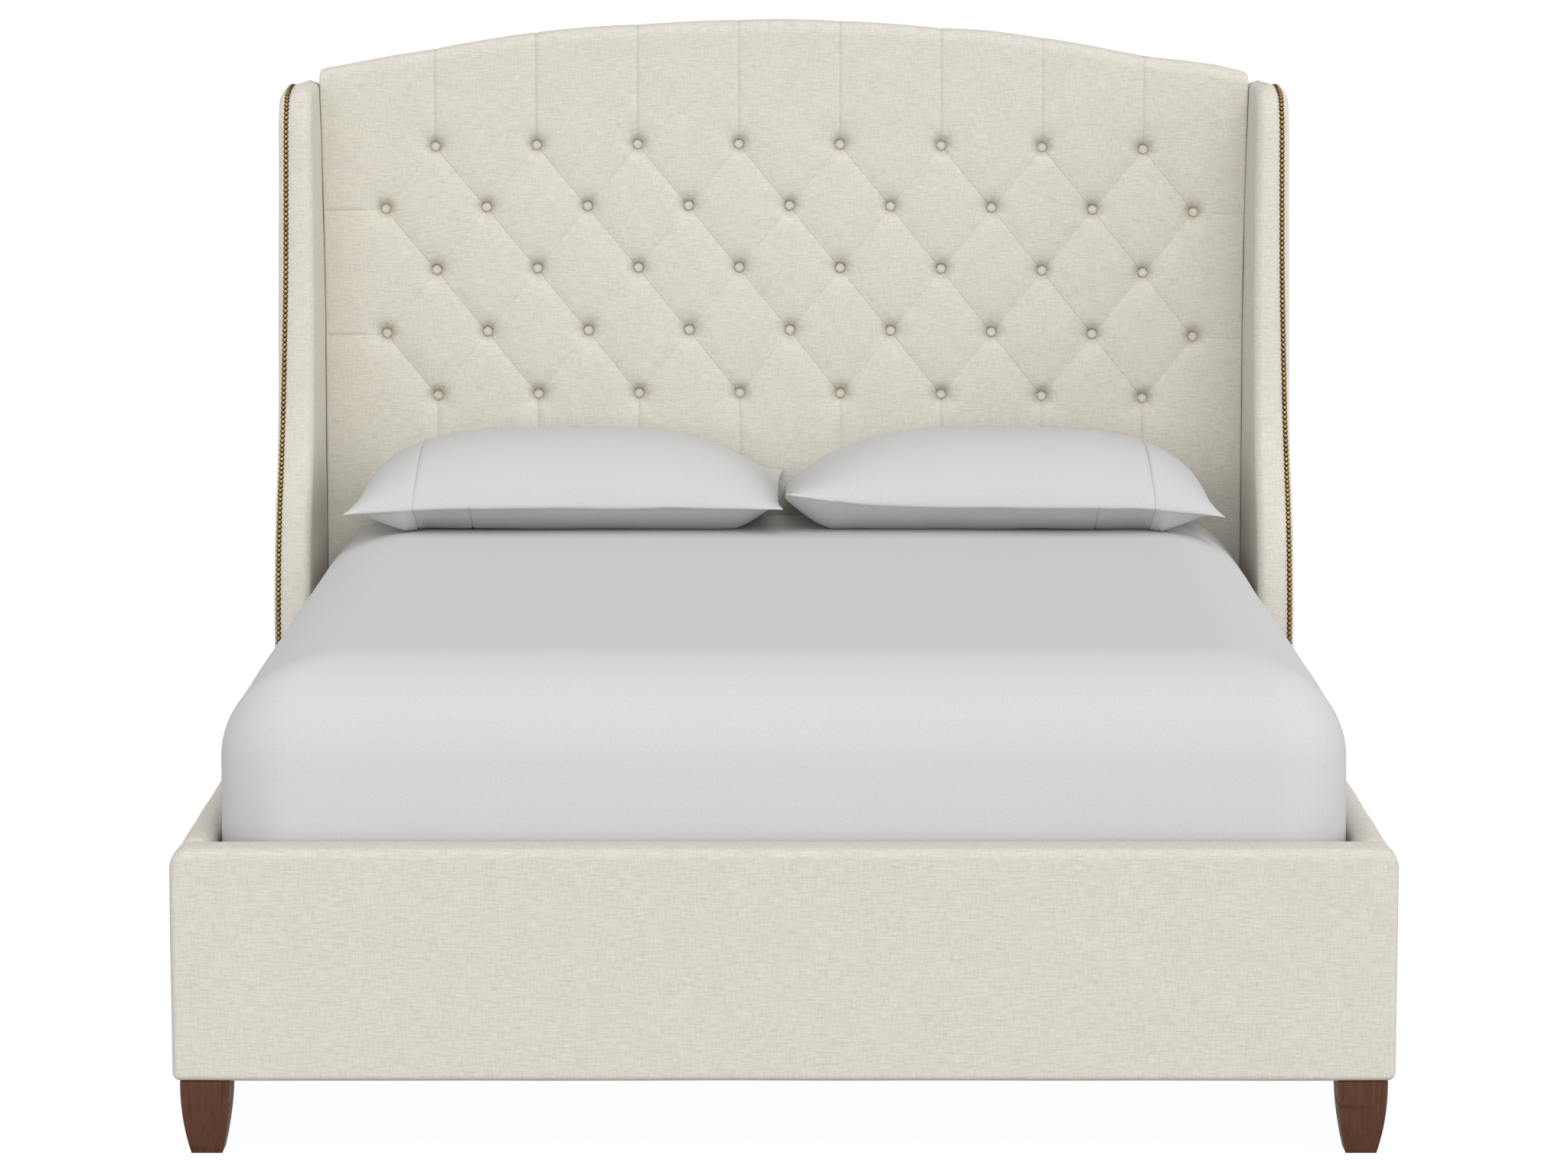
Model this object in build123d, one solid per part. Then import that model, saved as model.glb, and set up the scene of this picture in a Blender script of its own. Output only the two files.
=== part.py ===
from build123d import *
import math
import os

os.makedirs("parts", exist_ok=True)

# Queen mattress that the frame is built round, in millimetres
mattress_width = 1524
mattress_length = 2032
mattress_height = 330
mattress_corner_radius = 165
mattress_top_radius = 160
mattress_bottom_radius = 30
mattress_side_gap = 6
mattress_foot_gap = 14
mattress_head_gap = 4
mattress_recess = 95
soft_gap = 0.3

# Feet and the height of the frame
leg_height = 102
glide_thickness = 2
glide_radius = 12
glide_stem_radius = 2
glide_stem_length = 14

# Footboard, a padded board across the whole bed
footboard_depth = 80
footboard_height = 313
footboard_overhang = 5
footboard_core_depth = 30
footboard_pad = 16
footboard_top_corner_radius = 20
footboard_bottom_corner_radius = 12
footboard_edge_radius = 15

# Side rails, padded boards between the footboard and the wings
rail_thickness = 43
rail_core_thickness = 25
rail_pad = 9
rail_top_radius = 20
rail_bottom_radius = 8

# Wings at both ends of the headboard
wing_thickness = 58
wing_base_depth = 461
wing_sweep = 128
wing_sweep_radius = 436
wing_sweep_rise = 65
wing_lean = 7
wing_top_radius = 85
wing_back_radius = 12
wing_rise = 716
wing_core_thickness = 22
wing_pad = 18
wing_inner_radius = 24
wing_outer_radius = 4

# Headboard, an arched panel on a timber frame
headboard_rise = 815
headboard_sagitta = 85
headboard_side_gap = 2
headboard_corner_radius = 20
pad_thickness = 50
pad_top_cover = 15
pad_edge_radius = 20
pad_bottom_drop = 250
panel_thickness = 12
post_width = 70
post_thickness = 25
cross_rail_width = 60
rail_row_clearance = 18
middle_rail_drop = 113
back_cover_thickness = 2

# Diamond tufting of the headboard
tuft_rows = 5
tuft_columns = 9
tuft_side_margin = 93
tuft_top_margin = 207
tuft_row_pitch = 105
tuft_offset = 8
tuft_cone_radius = 30
tuft_depth = 26
pleat_depth = 13
pleat_half_width = 19
button_radius = 7.5
button_height = 5
button_shank_radius = 1.5
washer_radius = 8
washer_thickness = 1.5

# Nails that edge the wings
nail_radius = 3.5
nail_pitch = 7.3
nail_height = 2.2
nail_edge_offset = 8
nail_seat = 0.02
nail_base_margin = 15
nail_back_margin = 30

# Tapered front legs
front_leg_width = 66
front_leg_depth = 72
front_leg_side_inset = 13
front_leg_front_inset = 4
front_leg_outer_taper = 16
front_leg_inner_taper = 9
front_leg_front_taper = 16
front_leg_back_taper = 5
leg_plate_size = 50
leg_plate_thickness = 2.5
hanger_bolt_radius = 4
hanger_bolt_length = 90

# Slats and what carries them
slat_count = 14
slat_width = 70
slat_thickness = 18
slat_end_gap = 3
slat_foot_margin = 45
slat_head_margin = 60
cleat_width = 30
cleat_height = 38
cleat_foot_gap = 8
webbing_width = 25
webbing_thickness = 1.5
webbing_inset = 130

# Beam down the middle and its legs
beam_width = 45
beam_height = 70
hanger_plate_thickness = 3
hanger_plate_height = 95
hanger_plate_width = 110
hanger_shelf_depth = 50
hanger_rise_share = 0.66
centre_leg_size = 45
centre_leg_lift = 30
centre_leg_shares = (0.36, 0.7)
leveller_radius = 4
leveller_length = 62
leveller_travel = 10
leveller_play = 0.05
leveller_pad_radius = 20
leveller_pad_height = 8
leveller_socket_floor = 3
leveller_nut_radius = 8
leveller_nut_height = 5
leveller_nut_gap = 2
t_nut_radius = 10
t_nut_thickness = 1.5
t_nut_sleeve_radius = 5.5
t_nut_sleeve_length = 10

# Steel corner hardware, bolts and screws
bracket_thickness = 3
bracket_reach = 60
bracket_height = 110
bracket_rise = 40
bracket_hole_share = 0.6
joint_plate_length = 160
joint_plate_hole_share = 0.3
bolt_radius = 4
bolt_head_radius = 8
bolt_head_height = 4
bolt_length = 32
bolt_row_pitch = 60
insert_radius = 6
insert_length = 13
wing_bolt_gap = 90
wing_bolt_length = 112
screw_radius = 2
screw_head_radius = 4
screw_head_height = 2.5
slat_screw_length = 40
cleat_screw_length = 55
cleat_screw_count = 6
wing_cleat_screw_count = 2

# Pillows
pillow_width = 706
pillow_depth = 460
pillow_height = 153
pillow_split = 3
pillow_back_gap = 6
pillow_side_bow = 12
pillow_end_bow = 7
# Height, width, depth and bow of each slice through a pillow
pillow_slice_shares = (
    (0.0, 0.80, 0.60, -2.0),
    (0.05, 0.90, 0.76, -1.8),
    (0.13, 0.97, 0.93, -0.6),
    (0.26, 1.0, 1.0, 1.0),
    (0.46, 0.96, 0.93, -0.4),
    (0.65, 0.87, 0.82, -1.4),
    (0.81, 0.72, 0.66, -2.0),
    (0.93, 0.52, 0.45, -2.0),
    (1.0, 0.26, 0.22, -1.0),
)

# How far a cutting tool runs past what it cuts
overrun = 1

# Places across the bed
inner_x = mattress_width / 2 + mattress_side_gap
rail_outer_x = inner_x + rail_thickness
footboard_half = rail_outer_x + footboard_overhang
wing_outer_x = inner_x + wing_thickness
panel_half = inner_x - headboard_side_gap

# Places along the bed, with the middle of its length at zero
headboard_depth = pad_thickness + panel_thickness + post_thickness + back_cover_thickness
overall_length = (footboard_depth + mattress_foot_gap + mattress_length
                  + mattress_head_gap + headboard_depth)
front_y = -overall_length / 2
footboard_back_y = front_y + footboard_depth
mattress_foot_y = footboard_back_y + mattress_foot_gap
mattress_head_y = mattress_foot_y + mattress_length
pad_face_y = mattress_head_y + mattress_head_gap
panel_front_y = pad_face_y + pad_thickness
panel_back_y = panel_front_y + panel_thickness
post_back_y = panel_back_y + post_thickness
back_y = post_back_y + back_cover_thickness
wing_front_y = back_y - wing_base_depth

# Places in height above the floor
rail_top_z = leg_height + footboard_height
mattress_z = rail_top_z - mattress_recess
slat_top_z = mattress_z - soft_gap
slat_z = slat_top_z - slat_thickness
cleat_z = slat_z - cleat_height
beam_z = slat_z - beam_height
mattress_top_z = mattress_z + mattress_height
headboard_top_z = mattress_top_z + headboard_rise
wing_top_z = mattress_top_z + wing_rise
pad_bottom_z = mattress_top_z - pad_bottom_drop
bracket_z = leg_height + bracket_rise
bolt_low_z = bracket_z + (bracket_height - bolt_row_pitch) / 2
bolt_heights = (bolt_low_z, bolt_low_z + bolt_row_pitch)


def box(x0, x1, y0, y1, z0, z1):
    """Block between two corners."""
    return Pos((x0 + x1) / 2, (y0 + y1) / 2, (z0 + z1) / 2) * Box(x1 - x0, y1 - y0, z1 - z0)


def rod(start, direction, radius, length):
    """Round bar that starts at a point and runs along a direction."""
    plane = Plane(origin=start, z_dir=direction)
    return extrude(plane * Circle(radius), amount=length, dir=direction)


def mirrored(shape):
    """The same piece on the other side of the bed."""
    return mirror(shape, about=Plane.YZ)


def both(shape):
    """A piece and its mirror image, kept as separate solids."""
    return Compound(children=shape.solids() + mirrored(shape).solids())


def group(shapes):
    """Separate solids that share one node."""
    return Compound(children=[solid for shape in shapes for solid in shape.solids()])


def save(name, shape):
    shape.label = name
    export_step(shape, f"parts/{name}.step")


def slab_along_x(edges, x0, x1):
    """Extrude an outline drawn as (Y, Z) from one place across the bed to another."""
    return Pos(x0, 0, 0) * extrude(Plane.YZ * make_face(edges), amount=x1 - x0, dir=(1, 0, 0))


def slab_along_y(face, y0, y1):
    """Extrude a face drawn as (X, Z) from one place along the bed to another."""
    plane = Plane(origin=(0, y0, 0), x_dir=(1, 0, 0), z_dir=(0, -1, 0))
    return extrude(plane * face, amount=y1 - y0, dir=(0, 1, 0))


def bolt(start, direction, length):
    """Flat headed bolt: the head stands on the start point, the shank runs inwards."""
    back = tuple(-bolt_head_height * part for part in direction)
    head_start = tuple(place + step for place, step in zip(start, back))
    head = rod(head_start, direction, bolt_head_radius, bolt_head_height)
    return head + rod(start, direction, bolt_radius, length)


def insert(start, direction, depth):
    """Threaded bush round the end of a bolt, with the bolt's hole through it."""
    near = depth - insert_length
    mouth = tuple(place + near * part for place, part in zip(start, direction))
    sleeve = rod(mouth, direction, insert_radius, insert_length)
    return sleeve - rod(start, direction, bolt_radius, depth + overrun)


def screw(start, direction, length):
    """Countersunk screw with its head flush at the start point."""
    plane = Plane(origin=start, z_dir=direction)
    taper = plane * Pos(0, 0, screw_head_height / 2) * Cone(
        screw_head_radius, screw_radius, screw_head_height)
    return taper + rod(start, direction, screw_radius, length)


def without(shape, tools):
    """Cut every tool from a shape."""
    for tool in tools:
        shape = shape - tool
    return shape


# Mattress
def make_mattress():
    block = box(-mattress_width / 2, mattress_width / 2, mattress_foot_y, mattress_head_y,
                mattress_z, mattress_top_z)
    block = fillet(block.edges().filter_by(Axis.Z), mattress_corner_radius)
    block = fillet(block.faces().sort_by(Axis.Z)[-1].edges(), mattress_top_radius)
    return fillet(block.faces().sort_by(Axis.Z)[0].edges(), mattress_bottom_radius)


# Pillows
def pillow_slice(width, depth, bow, height):
    """Four sided outline whose sides bow in or out, at one height."""
    a = width / 2
    b = depth / 2
    side = pillow_side_bow * bow
    end = pillow_end_bow * bow
    outline = make_face([
        ThreePointArc((-a, -b), (0, -b + side), (a, -b)),
        ThreePointArc((a, -b), (a - end, 0), (a, b)),
        ThreePointArc((a, b), (0, b - side), (-a, b)),
        ThreePointArc((-a, b), (-a + end, 0), (-a, -b)),
    ])
    return Pos(0, 0, height) * outline


def make_pillow():
    slices = []
    for height_share, width_share, depth_share, bow_share in pillow_slice_shares:
        slices.append(pillow_slice(pillow_width * width_share, pillow_depth * depth_share,
                                   bow_share, pillow_height * height_share))
    pillow = loft(slices, ruled=True)
    middle_y = pad_face_y - pillow_back_gap - pillow_depth / 2
    middle_x = (pillow_width + pillow_split) / 2
    return Pos(middle_x, middle_y, mattress_top_z + soft_gap) * pillow


# Headboard
def arch_face(half_width, bottom_z, drop, corner_radius):
    """Panel outline as (X, Z): straight sides under a shallow arch."""
    top = headboard_top_z - drop
    spring = top - headboard_sagitta
    face = make_face([
        Line((-half_width, bottom_z), (half_width, bottom_z)),
        Line((half_width, bottom_z), (half_width, spring)),
        ThreePointArc((half_width, spring), (0, top), (-half_width, spring)),
        Line((-half_width, spring), (-half_width, bottom_z)),
    ])
    corners = face.vertices().group_by(Axis.Y)[-1]
    return fillet(corners, corner_radius)


def tuft_places():
    """Button places as rows of (X, Z): rows alternate between fewer and more buttons."""
    pitch = (2 * inner_x - 2 * tuft_side_margin) / (tuft_columns - 1)
    rows = []
    for row in range(tuft_rows):
        count = tuft_columns - (row + 1) % 2
        first = tuft_offset - pitch * (count - 1) / 2
        height = headboard_top_z - tuft_top_margin - row * tuft_row_pitch
        rows.append([(first + column * pitch, height) for column in range(count)])
    return rows


def pleat(start, end):
    """V shaped cutter along the pad's face from one (X, Z) place to another."""
    along = Vector(end[0] - start[0], 0, end[1] - start[1])
    plane = Plane(origin=(start[0], pad_face_y, start[1]), x_dir=(0, 1, 0), z_dir=along)
    half = pleat_half_width * (pleat_depth + overrun) / pleat_depth
    profile = make_face(Polyline((pleat_depth, 0), (-overrun, half), (-overrun, -half), close=True))
    return extrude(plane * profile, amount=along.length, dir=along)


def pleat_lines(rows):
    """Every run of pleats between buttons, and from the outer buttons to the edges."""
    pitch = rows[0][1][0] - rows[0][0][0]
    lines = []
    for lean in (-1, 1):
        starts = [(row, column) for row, places in enumerate(rows) for column in range(len(places))]
        taken = set()
        for row, column in starts:
            if (row, column) in taken:
                continue
            x, z = rows[row][column]
            end = (x, z)
            step = row
            while step + 1 < tuft_rows:
                wanted = end[0] + lean * pitch / 2
                near = [i for i, place in enumerate(rows[step + 1])
                        if abs(place[0] - wanted) < pitch / 4]
                if not near:
                    break
                step += 1
                taken.add((step, near[0]))
                end = rows[step][near[0]]
            if step > row:
                lines.append(((x, z), end))
    for x, z in rows[0]:
        lines.append(((x, z), (x, headboard_top_z + overrun)))
    for x, z in rows[-1]:
        lines.append(((x, z), (x, pad_bottom_z - overrun)))
    for places in rows[1::2]:
        lines.append((places[0], (-panel_half - overrun, places[0][1])))
        lines.append((places[-1], (panel_half + overrun, places[-1][1])))
    return lines


def button(x, z):
    """Covered dome on a shank that runs back through the panel."""
    seat = pad_face_y + tuft_depth
    rim = (button_radius ** 2 + button_height ** 2) / (2 * button_height)
    dome = Pos(x, seat - button_height + rim, z) * Sphere(rim)
    dome = dome & box(x - rim, x + rim, seat - button_height - overrun, seat, z - rim, z + rim)
    length = panel_back_y + washer_thickness - seat
    return dome + rod((x, seat, z), (0, 1, 0), button_shank_radius, length)


def washer(x, z):
    ring = rod((x, panel_back_y, z), (0, 1, 0), washer_radius, washer_thickness)
    return ring - rod((x, panel_back_y, z), (0, 1, 0), button_shank_radius, washer_thickness)


def shank_holes(places, y0, y1):
    return [rod((x, y0, z), (0, 1, 0), button_shank_radius, y1 - y0) for x, z in places]


def make_pad(rows):
    """Tufted pad: a padded slab with a lip that wraps back over the panel's arch."""
    places = [place for places in rows for place in places]
    block = slab_along_y(arch_face(panel_half, pad_bottom_z, 0, headboard_corner_radius),
                         pad_face_y, post_back_y)
    front = block.faces().sort_by(Axis.Y)[0]
    edges = [edge for edge in front.edges() if edge.center().Z > pad_bottom_z + overrun]
    block = fillet(edges, pad_edge_radius)
    hollow = slab_along_y(panel_face(pad_bottom_z - overrun), panel_front_y, post_back_y + overrun)
    block = block - hollow
    cutters = [pleat(start, end) for start, end in pleat_lines(rows)]
    cone = Cone(tuft_cone_radius, button_radius, tuft_depth, align=(Align.CENTER, Align.CENTER, Align.MIN))
    mouth = Cylinder(tuft_cone_radius, overrun, align=(Align.CENTER, Align.CENTER, Align.MAX))
    for x, z in places:
        plane = Plane(origin=(x, pad_face_y, z), x_dir=(1, 0, 0), z_dir=(0, 1, 0))
        cutters.append(plane * cone + plane * mouth)
    cutters += shank_holes(places, pad_face_y, panel_front_y)
    return block.cut(*cutters)


def panel_face(bottom_z):
    return arch_face(inner_x, bottom_z, pad_top_cover, headboard_corner_radius + pad_top_cover)


def make_posts():
    """Right upright of the headboard, which runs down to the floor as its leg."""
    arch = slab_along_y(panel_face(glide_thickness), panel_back_y, post_back_y)
    return arch & box(inner_x - post_width, inner_x, panel_back_y, post_back_y,
                      glide_thickness, headboard_top_z)


def cross_rail_heights():
    """Low edges of the three rails, clear of the washers behind the tufting."""
    top = headboard_top_z - tuft_top_margin + rail_row_clearance
    last_row = headboard_top_z - tuft_top_margin - (tuft_rows - 1) * tuft_row_pitch
    return leg_height, last_row - middle_rail_drop - cross_rail_width, top


def make_cross_rails():
    """Three rails between the posts."""
    reach = inner_x - post_width
    return [box(-reach, reach, panel_back_y, post_back_y, low, low + cross_rail_width)
            for low in cross_rail_heights()]


# Wings
def wing_path(inset):
    """Front and top edge of a wing as (Y, Z) edges, from its base to its back."""
    lean = math.radians(wing_lean)
    turn = math.acos((1 + math.cos(lean) - wing_sweep / wing_sweep_radius) / 2)
    foot = (wing_front_y + inset, leg_height + inset)
    knee = (wing_front_y + inset, rail_top_z + wing_sweep_rise)
    lower = JernArc(knee, (0, 1), wing_sweep_radius - inset, -math.degrees(turn))
    upper = JernArc(lower @ 1, lower % 1, wing_sweep_radius + inset, math.degrees(turn - lean))
    corner = wing_top_radius - inset
    rise = wing_top_z - inset - (upper @ 1).Y - corner * (1 - math.sin(lean))
    shoulder = (upper @ 1) + (upper % 1) * (rise / math.cos(lean))
    straight = Line(upper @ 1, shoulder)
    bend = JernArc(shoulder, upper % 1, corner, wing_lean - math.degrees(math.pi / 2))
    top = Line(bend @ 1, (back_y - inset, wing_top_z - inset))
    return [Line(foot, knee), lower, upper, straight, bend, top]


def wing_outline(inset):
    """The whole wing outline, closed down its back and along its base."""
    edges = wing_path(inset)
    low_back = (back_y - inset, leg_height + inset)
    edges.append(Line(edges[-1] @ 1, low_back))
    edges.append(Line(low_back, edges[0] @ 0))
    return edges


def wing_core_x():
    middle = (inner_x + wing_outer_x) / 2
    return middle - wing_core_thickness / 2, middle + wing_core_thickness / 2


def make_wing_cover():
    block = slab_along_x(wing_outline(0), inner_x, wing_outer_x)
    top_back = [edge for edge in block.edges().filter_by(Axis.X)
                if edge.center().Z > wing_top_z - overrun and edge.center().Y > back_y - overrun]
    block = fillet(top_back, wing_back_radius)
    inner = block.faces().sort_by(Axis.X)[0].edges()
    inner = [edge for edge in inner
             if edge.center().Y < back_y - overrun and edge.center().Z > leg_height + overrun]
    block = fillet(inner, wing_inner_radius)
    outer = block.faces().sort_by(Axis.X)[-1].edges()
    outer = [edge for edge in outer
             if edge.center().Y < back_y - overrun and edge.center().Z > leg_height + overrun]
    block = fillet(outer, wing_outer_radius)
    return block - make_wing_core()


def make_wing_core():
    return slab_along_x(wing_outline(wing_pad), *wing_core_x())


def nail_places():
    """Places and outward directions of the nails, stepped along the wing's edge."""
    path = Wire(wing_path(0))
    start = nail_base_margin
    end = path.length - nail_back_margin
    count = int((end - start) / nail_pitch)
    places = []
    for index in range(count + 1):
        along = (start + index * nail_pitch) / path.length
        point = path.position_at(along)
        tangent = path.tangent_at(along)
        places.append(((point.X, point.Y), (-tangent.Y, tangent.X)))
    return places


def nail(place, outward):
    """Low domed head whose flat back lies on the wing's edge."""
    x = wing_outer_x - nail_edge_offset
    rim = (nail_radius ** 2 + nail_height ** 2) / (2 * nail_height)
    plane = Plane(origin=(x, place[0], place[1]), x_dir=(1, 0, 0), z_dir=(0, outward[0], outward[1]))
    ball = Pos(0, 0, nail_seat + nail_height - rim) * Sphere(rim)
    keep = Pos(0, 0, nail_seat + rim) * Box(2 * rim, 2 * rim, 2 * rim)
    return plane * (ball & keep)


# Footboard and side rails
def make_footboard_core():
    middle = front_y + footboard_depth / 2
    return box(-footboard_half + footboard_pad, footboard_half - footboard_pad,
               middle - footboard_core_depth / 2, middle + footboard_core_depth / 2,
               leg_height, rail_top_z - footboard_pad)


def make_footboard_cover():
    block = box(-footboard_half, footboard_half, front_y, footboard_back_y, leg_height, rail_top_z)
    across = block.edges().filter_by(Axis.Y).group_by(Axis.Z)
    block = fillet(across[-1], footboard_top_corner_radius)
    block = fillet(block.edges().filter_by(Axis.Y).group_by(Axis.Z)[0], footboard_bottom_corner_radius)
    for side in (0, -1):
        loop = block.faces().sort_by(Axis.Y)[side].edges()
        loop = [edge for edge in loop if edge.center().Z > leg_height + overrun]
        block = fillet(loop, footboard_edge_radius)
    return block - make_footboard_core()


def rail_core_x():
    return inner_x + rail_pad, inner_x + rail_pad + rail_core_thickness


def make_rail_core():
    near, far = rail_core_x()
    return box(near, far, footboard_back_y, wing_front_y, leg_height + rail_pad, rail_top_z - rail_pad)


def make_rail_cover():
    block = box(inner_x, rail_outer_x, footboard_back_y, wing_front_y, leg_height, rail_top_z)
    along = block.edges().filter_by(Axis.Y).group_by(Axis.Z)
    block = fillet(along[-1], rail_top_radius)
    block = fillet(block.edges().filter_by(Axis.Y).group_by(Axis.Z)[0], rail_bottom_radius)
    return block - make_rail_core()


# Front legs
def taper_edges(outer, inner, outer_taper, inner_taper):
    """Leg outline with curved sides, as edges from (place, height)."""
    low = glide_thickness
    high = leg_height
    way = 1 if outer > inner else -1
    foot_outer = outer - way * outer_taper
    foot_inner = inner + way * inner_taper
    return [
        Line((inner, high), (outer, high)),
        tapered_side((outer, high), (foot_outer, low)),
        Line((foot_outer, low), (foot_inner, low)),
        tapered_side((foot_inner, low), (inner, high)),
    ]


def tapered_side(start, end):
    """Arc that leaves the leg's top upright and curves in to its foot."""
    top, foot = (start, end) if start[1] > end[1] else (end, start)
    run = abs(top[0] - foot[0])
    rise = top[1] - foot[1]
    radius = (run ** 2 + rise ** 2) / (2 * run)
    half_turn = math.asin(rise / radius) / 2
    way = 1 if foot[0] > top[0] else -1
    middle = (top[0] + way * radius * (1 - math.cos(half_turn)), top[1] - radius * math.sin(half_turn))
    return ThreePointArc(start, middle, end)


def front_leg_x():
    outer = footboard_half - front_leg_side_inset
    return outer - front_leg_width, outer


def front_leg_y():
    front = front_y + front_leg_front_inset
    return front, front + front_leg_depth


def leg_middle():
    """Middle of a front leg's foot, where its glide and bolt are."""
    inner, outer = front_leg_x()
    front, rear = front_leg_y()
    x = (inner + front_leg_inner_taper + outer - front_leg_outer_taper) / 2
    y = (front + front_leg_front_taper + rear - front_leg_back_taper) / 2
    return x, y


def bolt_middle():
    """Place of the hanger bolt, under the footboard's core."""
    inner, outer = front_leg_x()
    return (inner + outer) / 2, front_y + footboard_depth / 2


def make_front_leg():
    inner, outer = front_leg_x()
    front, rear = front_leg_y()
    across = make_face(taper_edges(outer, inner, front_leg_outer_taper, front_leg_inner_taper))
    across = slab_along_y(across, front, rear)
    along = taper_edges(front, rear, front_leg_front_taper, front_leg_back_taper)
    leg = across & slab_along_x(along, inner, outer)
    x, y = bolt_middle()
    plate = leg_plate_box(x, y)
    return leg - plate - make_hanger_bolt() - glide_stem(*leg_middle())


def leg_plate_box(x, y):
    half = leg_plate_size / 2
    return box(x - half, x + half, y - half, y + half, leg_height - leg_plate_thickness, leg_height)


def make_hanger_bolt():
    x, y = bolt_middle()
    return rod((x, y, leg_height - hanger_bolt_length / 2), (0, 0, 1), hanger_bolt_radius,
               hanger_bolt_length)


def glide_stem(x, y):
    return rod((x, y, glide_thickness), (0, 0, 1), glide_stem_radius, glide_stem_length)


def glide(x, y):
    return rod((x, y, 0), (0, 0, 1), glide_radius, glide_thickness) + glide_stem(x, y)


def post_foot():
    return inner_x - post_width / 2, (panel_back_y + post_back_y) / 2


# Slats, cleats and the middle beam
def slat_places():
    first = footboard_back_y + slat_foot_margin
    last = panel_front_y - slat_head_margin - slat_width
    step = (last - first) / (slat_count - 1)
    return [first + index * step for index in range(slat_count)]


def slat_screws():
    """Right hand screws that hold the slat ends down on the cleats."""
    x = inner_x - cleat_width / 2
    return [screw((x, y + slat_width / 2, slat_top_z), (0, 0, -1), slat_screw_length)
            for y in slat_places() if cleat_split_clear(y)]


def cleat_split_clear(y):
    """True where a slat's screw stays clear of the joint between rail and wing cleats."""
    return abs(y + slat_width / 2 - wing_front_y) > 2 * screw_head_radius


def spaced(start, end, count):
    """Even places between two ends, half a step in from each."""
    step = (end - start) / count
    return [start + (index + 0.5) * step for index in range(count)]


def cleat_screws():
    x = inner_x - cleat_width
    z = cleat_z + cleat_height / 2
    rail = spaced(footboard_back_y + cleat_foot_gap, wing_front_y, cleat_screw_count)
    wing = spaced(wing_front_y, panel_front_y, wing_cleat_screw_count)
    return [screw((x, y, z), (1, 0, 0), cleat_screw_length) for y in rail + wing]


def make_beam():
    return box(-beam_width / 2, beam_width / 2, footboard_back_y + hanger_plate_thickness,
               panel_front_y - hanger_plate_thickness, beam_z, slat_z)


def beam_hanger(wall_y, way):
    """Steel shoe on a wall that holds an end of the beam."""
    t = hanger_plate_thickness
    half = beam_width / 2
    top = beam_z + beam_height * hanger_rise_share
    plate = box(-hanger_plate_width / 2, hanger_plate_width / 2, *sorted((wall_y, wall_y + way * t)),
                top - hanger_plate_height, top)
    reach = sorted((wall_y, wall_y + way * hanger_shelf_depth))
    floor = box(-half - t, half + t, *reach, beam_z - t, beam_z)
    cheeks = [box(*sorted((side * half, side * (half + t))), *reach, beam_z - t, top)
              for side in (-1, 1)]
    return plate + floor + cheeks[0] + cheeks[1]


def hanger_bolts(wall_y, way):
    """Bolts through a beam shoe: they start on the plate and run into the wall."""
    t = hanger_plate_thickness
    x = (hanger_plate_width / 2 + beam_width / 2 + t) / 2
    z = beam_z + beam_height * hanger_rise_share - hanger_plate_height / 2
    return [(side * x, wall_y + way * t, z) for side in (-1, 1)]


def centre_leg_places():
    length = panel_front_y - footboard_back_y
    return [footboard_back_y + share * length for share in centre_leg_shares]


def centre_leg_bolt(y):
    return rod((0, y, beam_z - hanger_bolt_length / 2), (0, 0, 1), hanger_bolt_radius,
               beam_height / 2 + hanger_bolt_length / 2)


def make_centre_leg(y):
    half = centre_leg_size / 2
    leg = box(-half, half, y - half, y + half, centre_leg_lift, beam_z)
    sleeve = rod((0, y, centre_leg_lift), (0, 0, 1), t_nut_sleeve_radius, t_nut_sleeve_length)
    flange = rod((0, y, centre_leg_lift), (0, 0, 1), t_nut_radius, t_nut_thickness)
    bore = rod((0, y, centre_leg_lift), (0, 0, 1), leveller_radius + leveller_play,
               leveller_top_z() + leveller_travel + leveller_nut_gap - centre_leg_lift)
    return leg - sleeve - flange - bore - centre_leg_bolt(y)


def leveller_top_z():
    return leveller_socket_floor + leveller_play + leveller_length


def make_t_nut(y):
    sleeve = rod((0, y, centre_leg_lift), (0, 0, 1), t_nut_sleeve_radius, t_nut_sleeve_length)
    flange = rod((0, y, centre_leg_lift), (0, 0, 1), t_nut_radius, t_nut_thickness)
    return sleeve + flange - rod((0, y, centre_leg_lift - overrun), (0, 0, 1),
                                 leveller_radius + leveller_play, t_nut_sleeve_length + 2 * overrun)


def make_leveller_pad(y):
    """Round foot with a blind socket that the stud turns in."""
    foot = rod((0, y, 0), (0, 0, 1), leveller_pad_radius, leveller_pad_height)
    return foot - rod((0, y, leveller_socket_floor), (0, 0, 1), leveller_radius + leveller_play,
                      leveller_pad_height)


def make_leveller_stud(y):
    """Threaded stud with a fixed nut for the spanner."""
    stud = rod((0, y, leveller_socket_floor + leveller_play), (0, 0, 1), leveller_radius, leveller_length)
    low = leveller_pad_height + leveller_play
    nut = Pos(0, y, low) * extrude(RegularPolygon(leveller_nut_radius, 6), amount=leveller_nut_height)
    return stud + nut


# Corner hardware
def foot_bracket():
    """Right hand angle between the rail's inner face and the footboard's back."""
    t = bracket_thickness
    top = bracket_z + bracket_height
    on_rail = box(inner_x - t, inner_x, footboard_back_y, footboard_back_y + bracket_reach, bracket_z, top)
    on_board = box(inner_x - bracket_reach, inner_x, footboard_back_y, footboard_back_y + t, bracket_z, top)
    return on_rail + on_board


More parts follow.
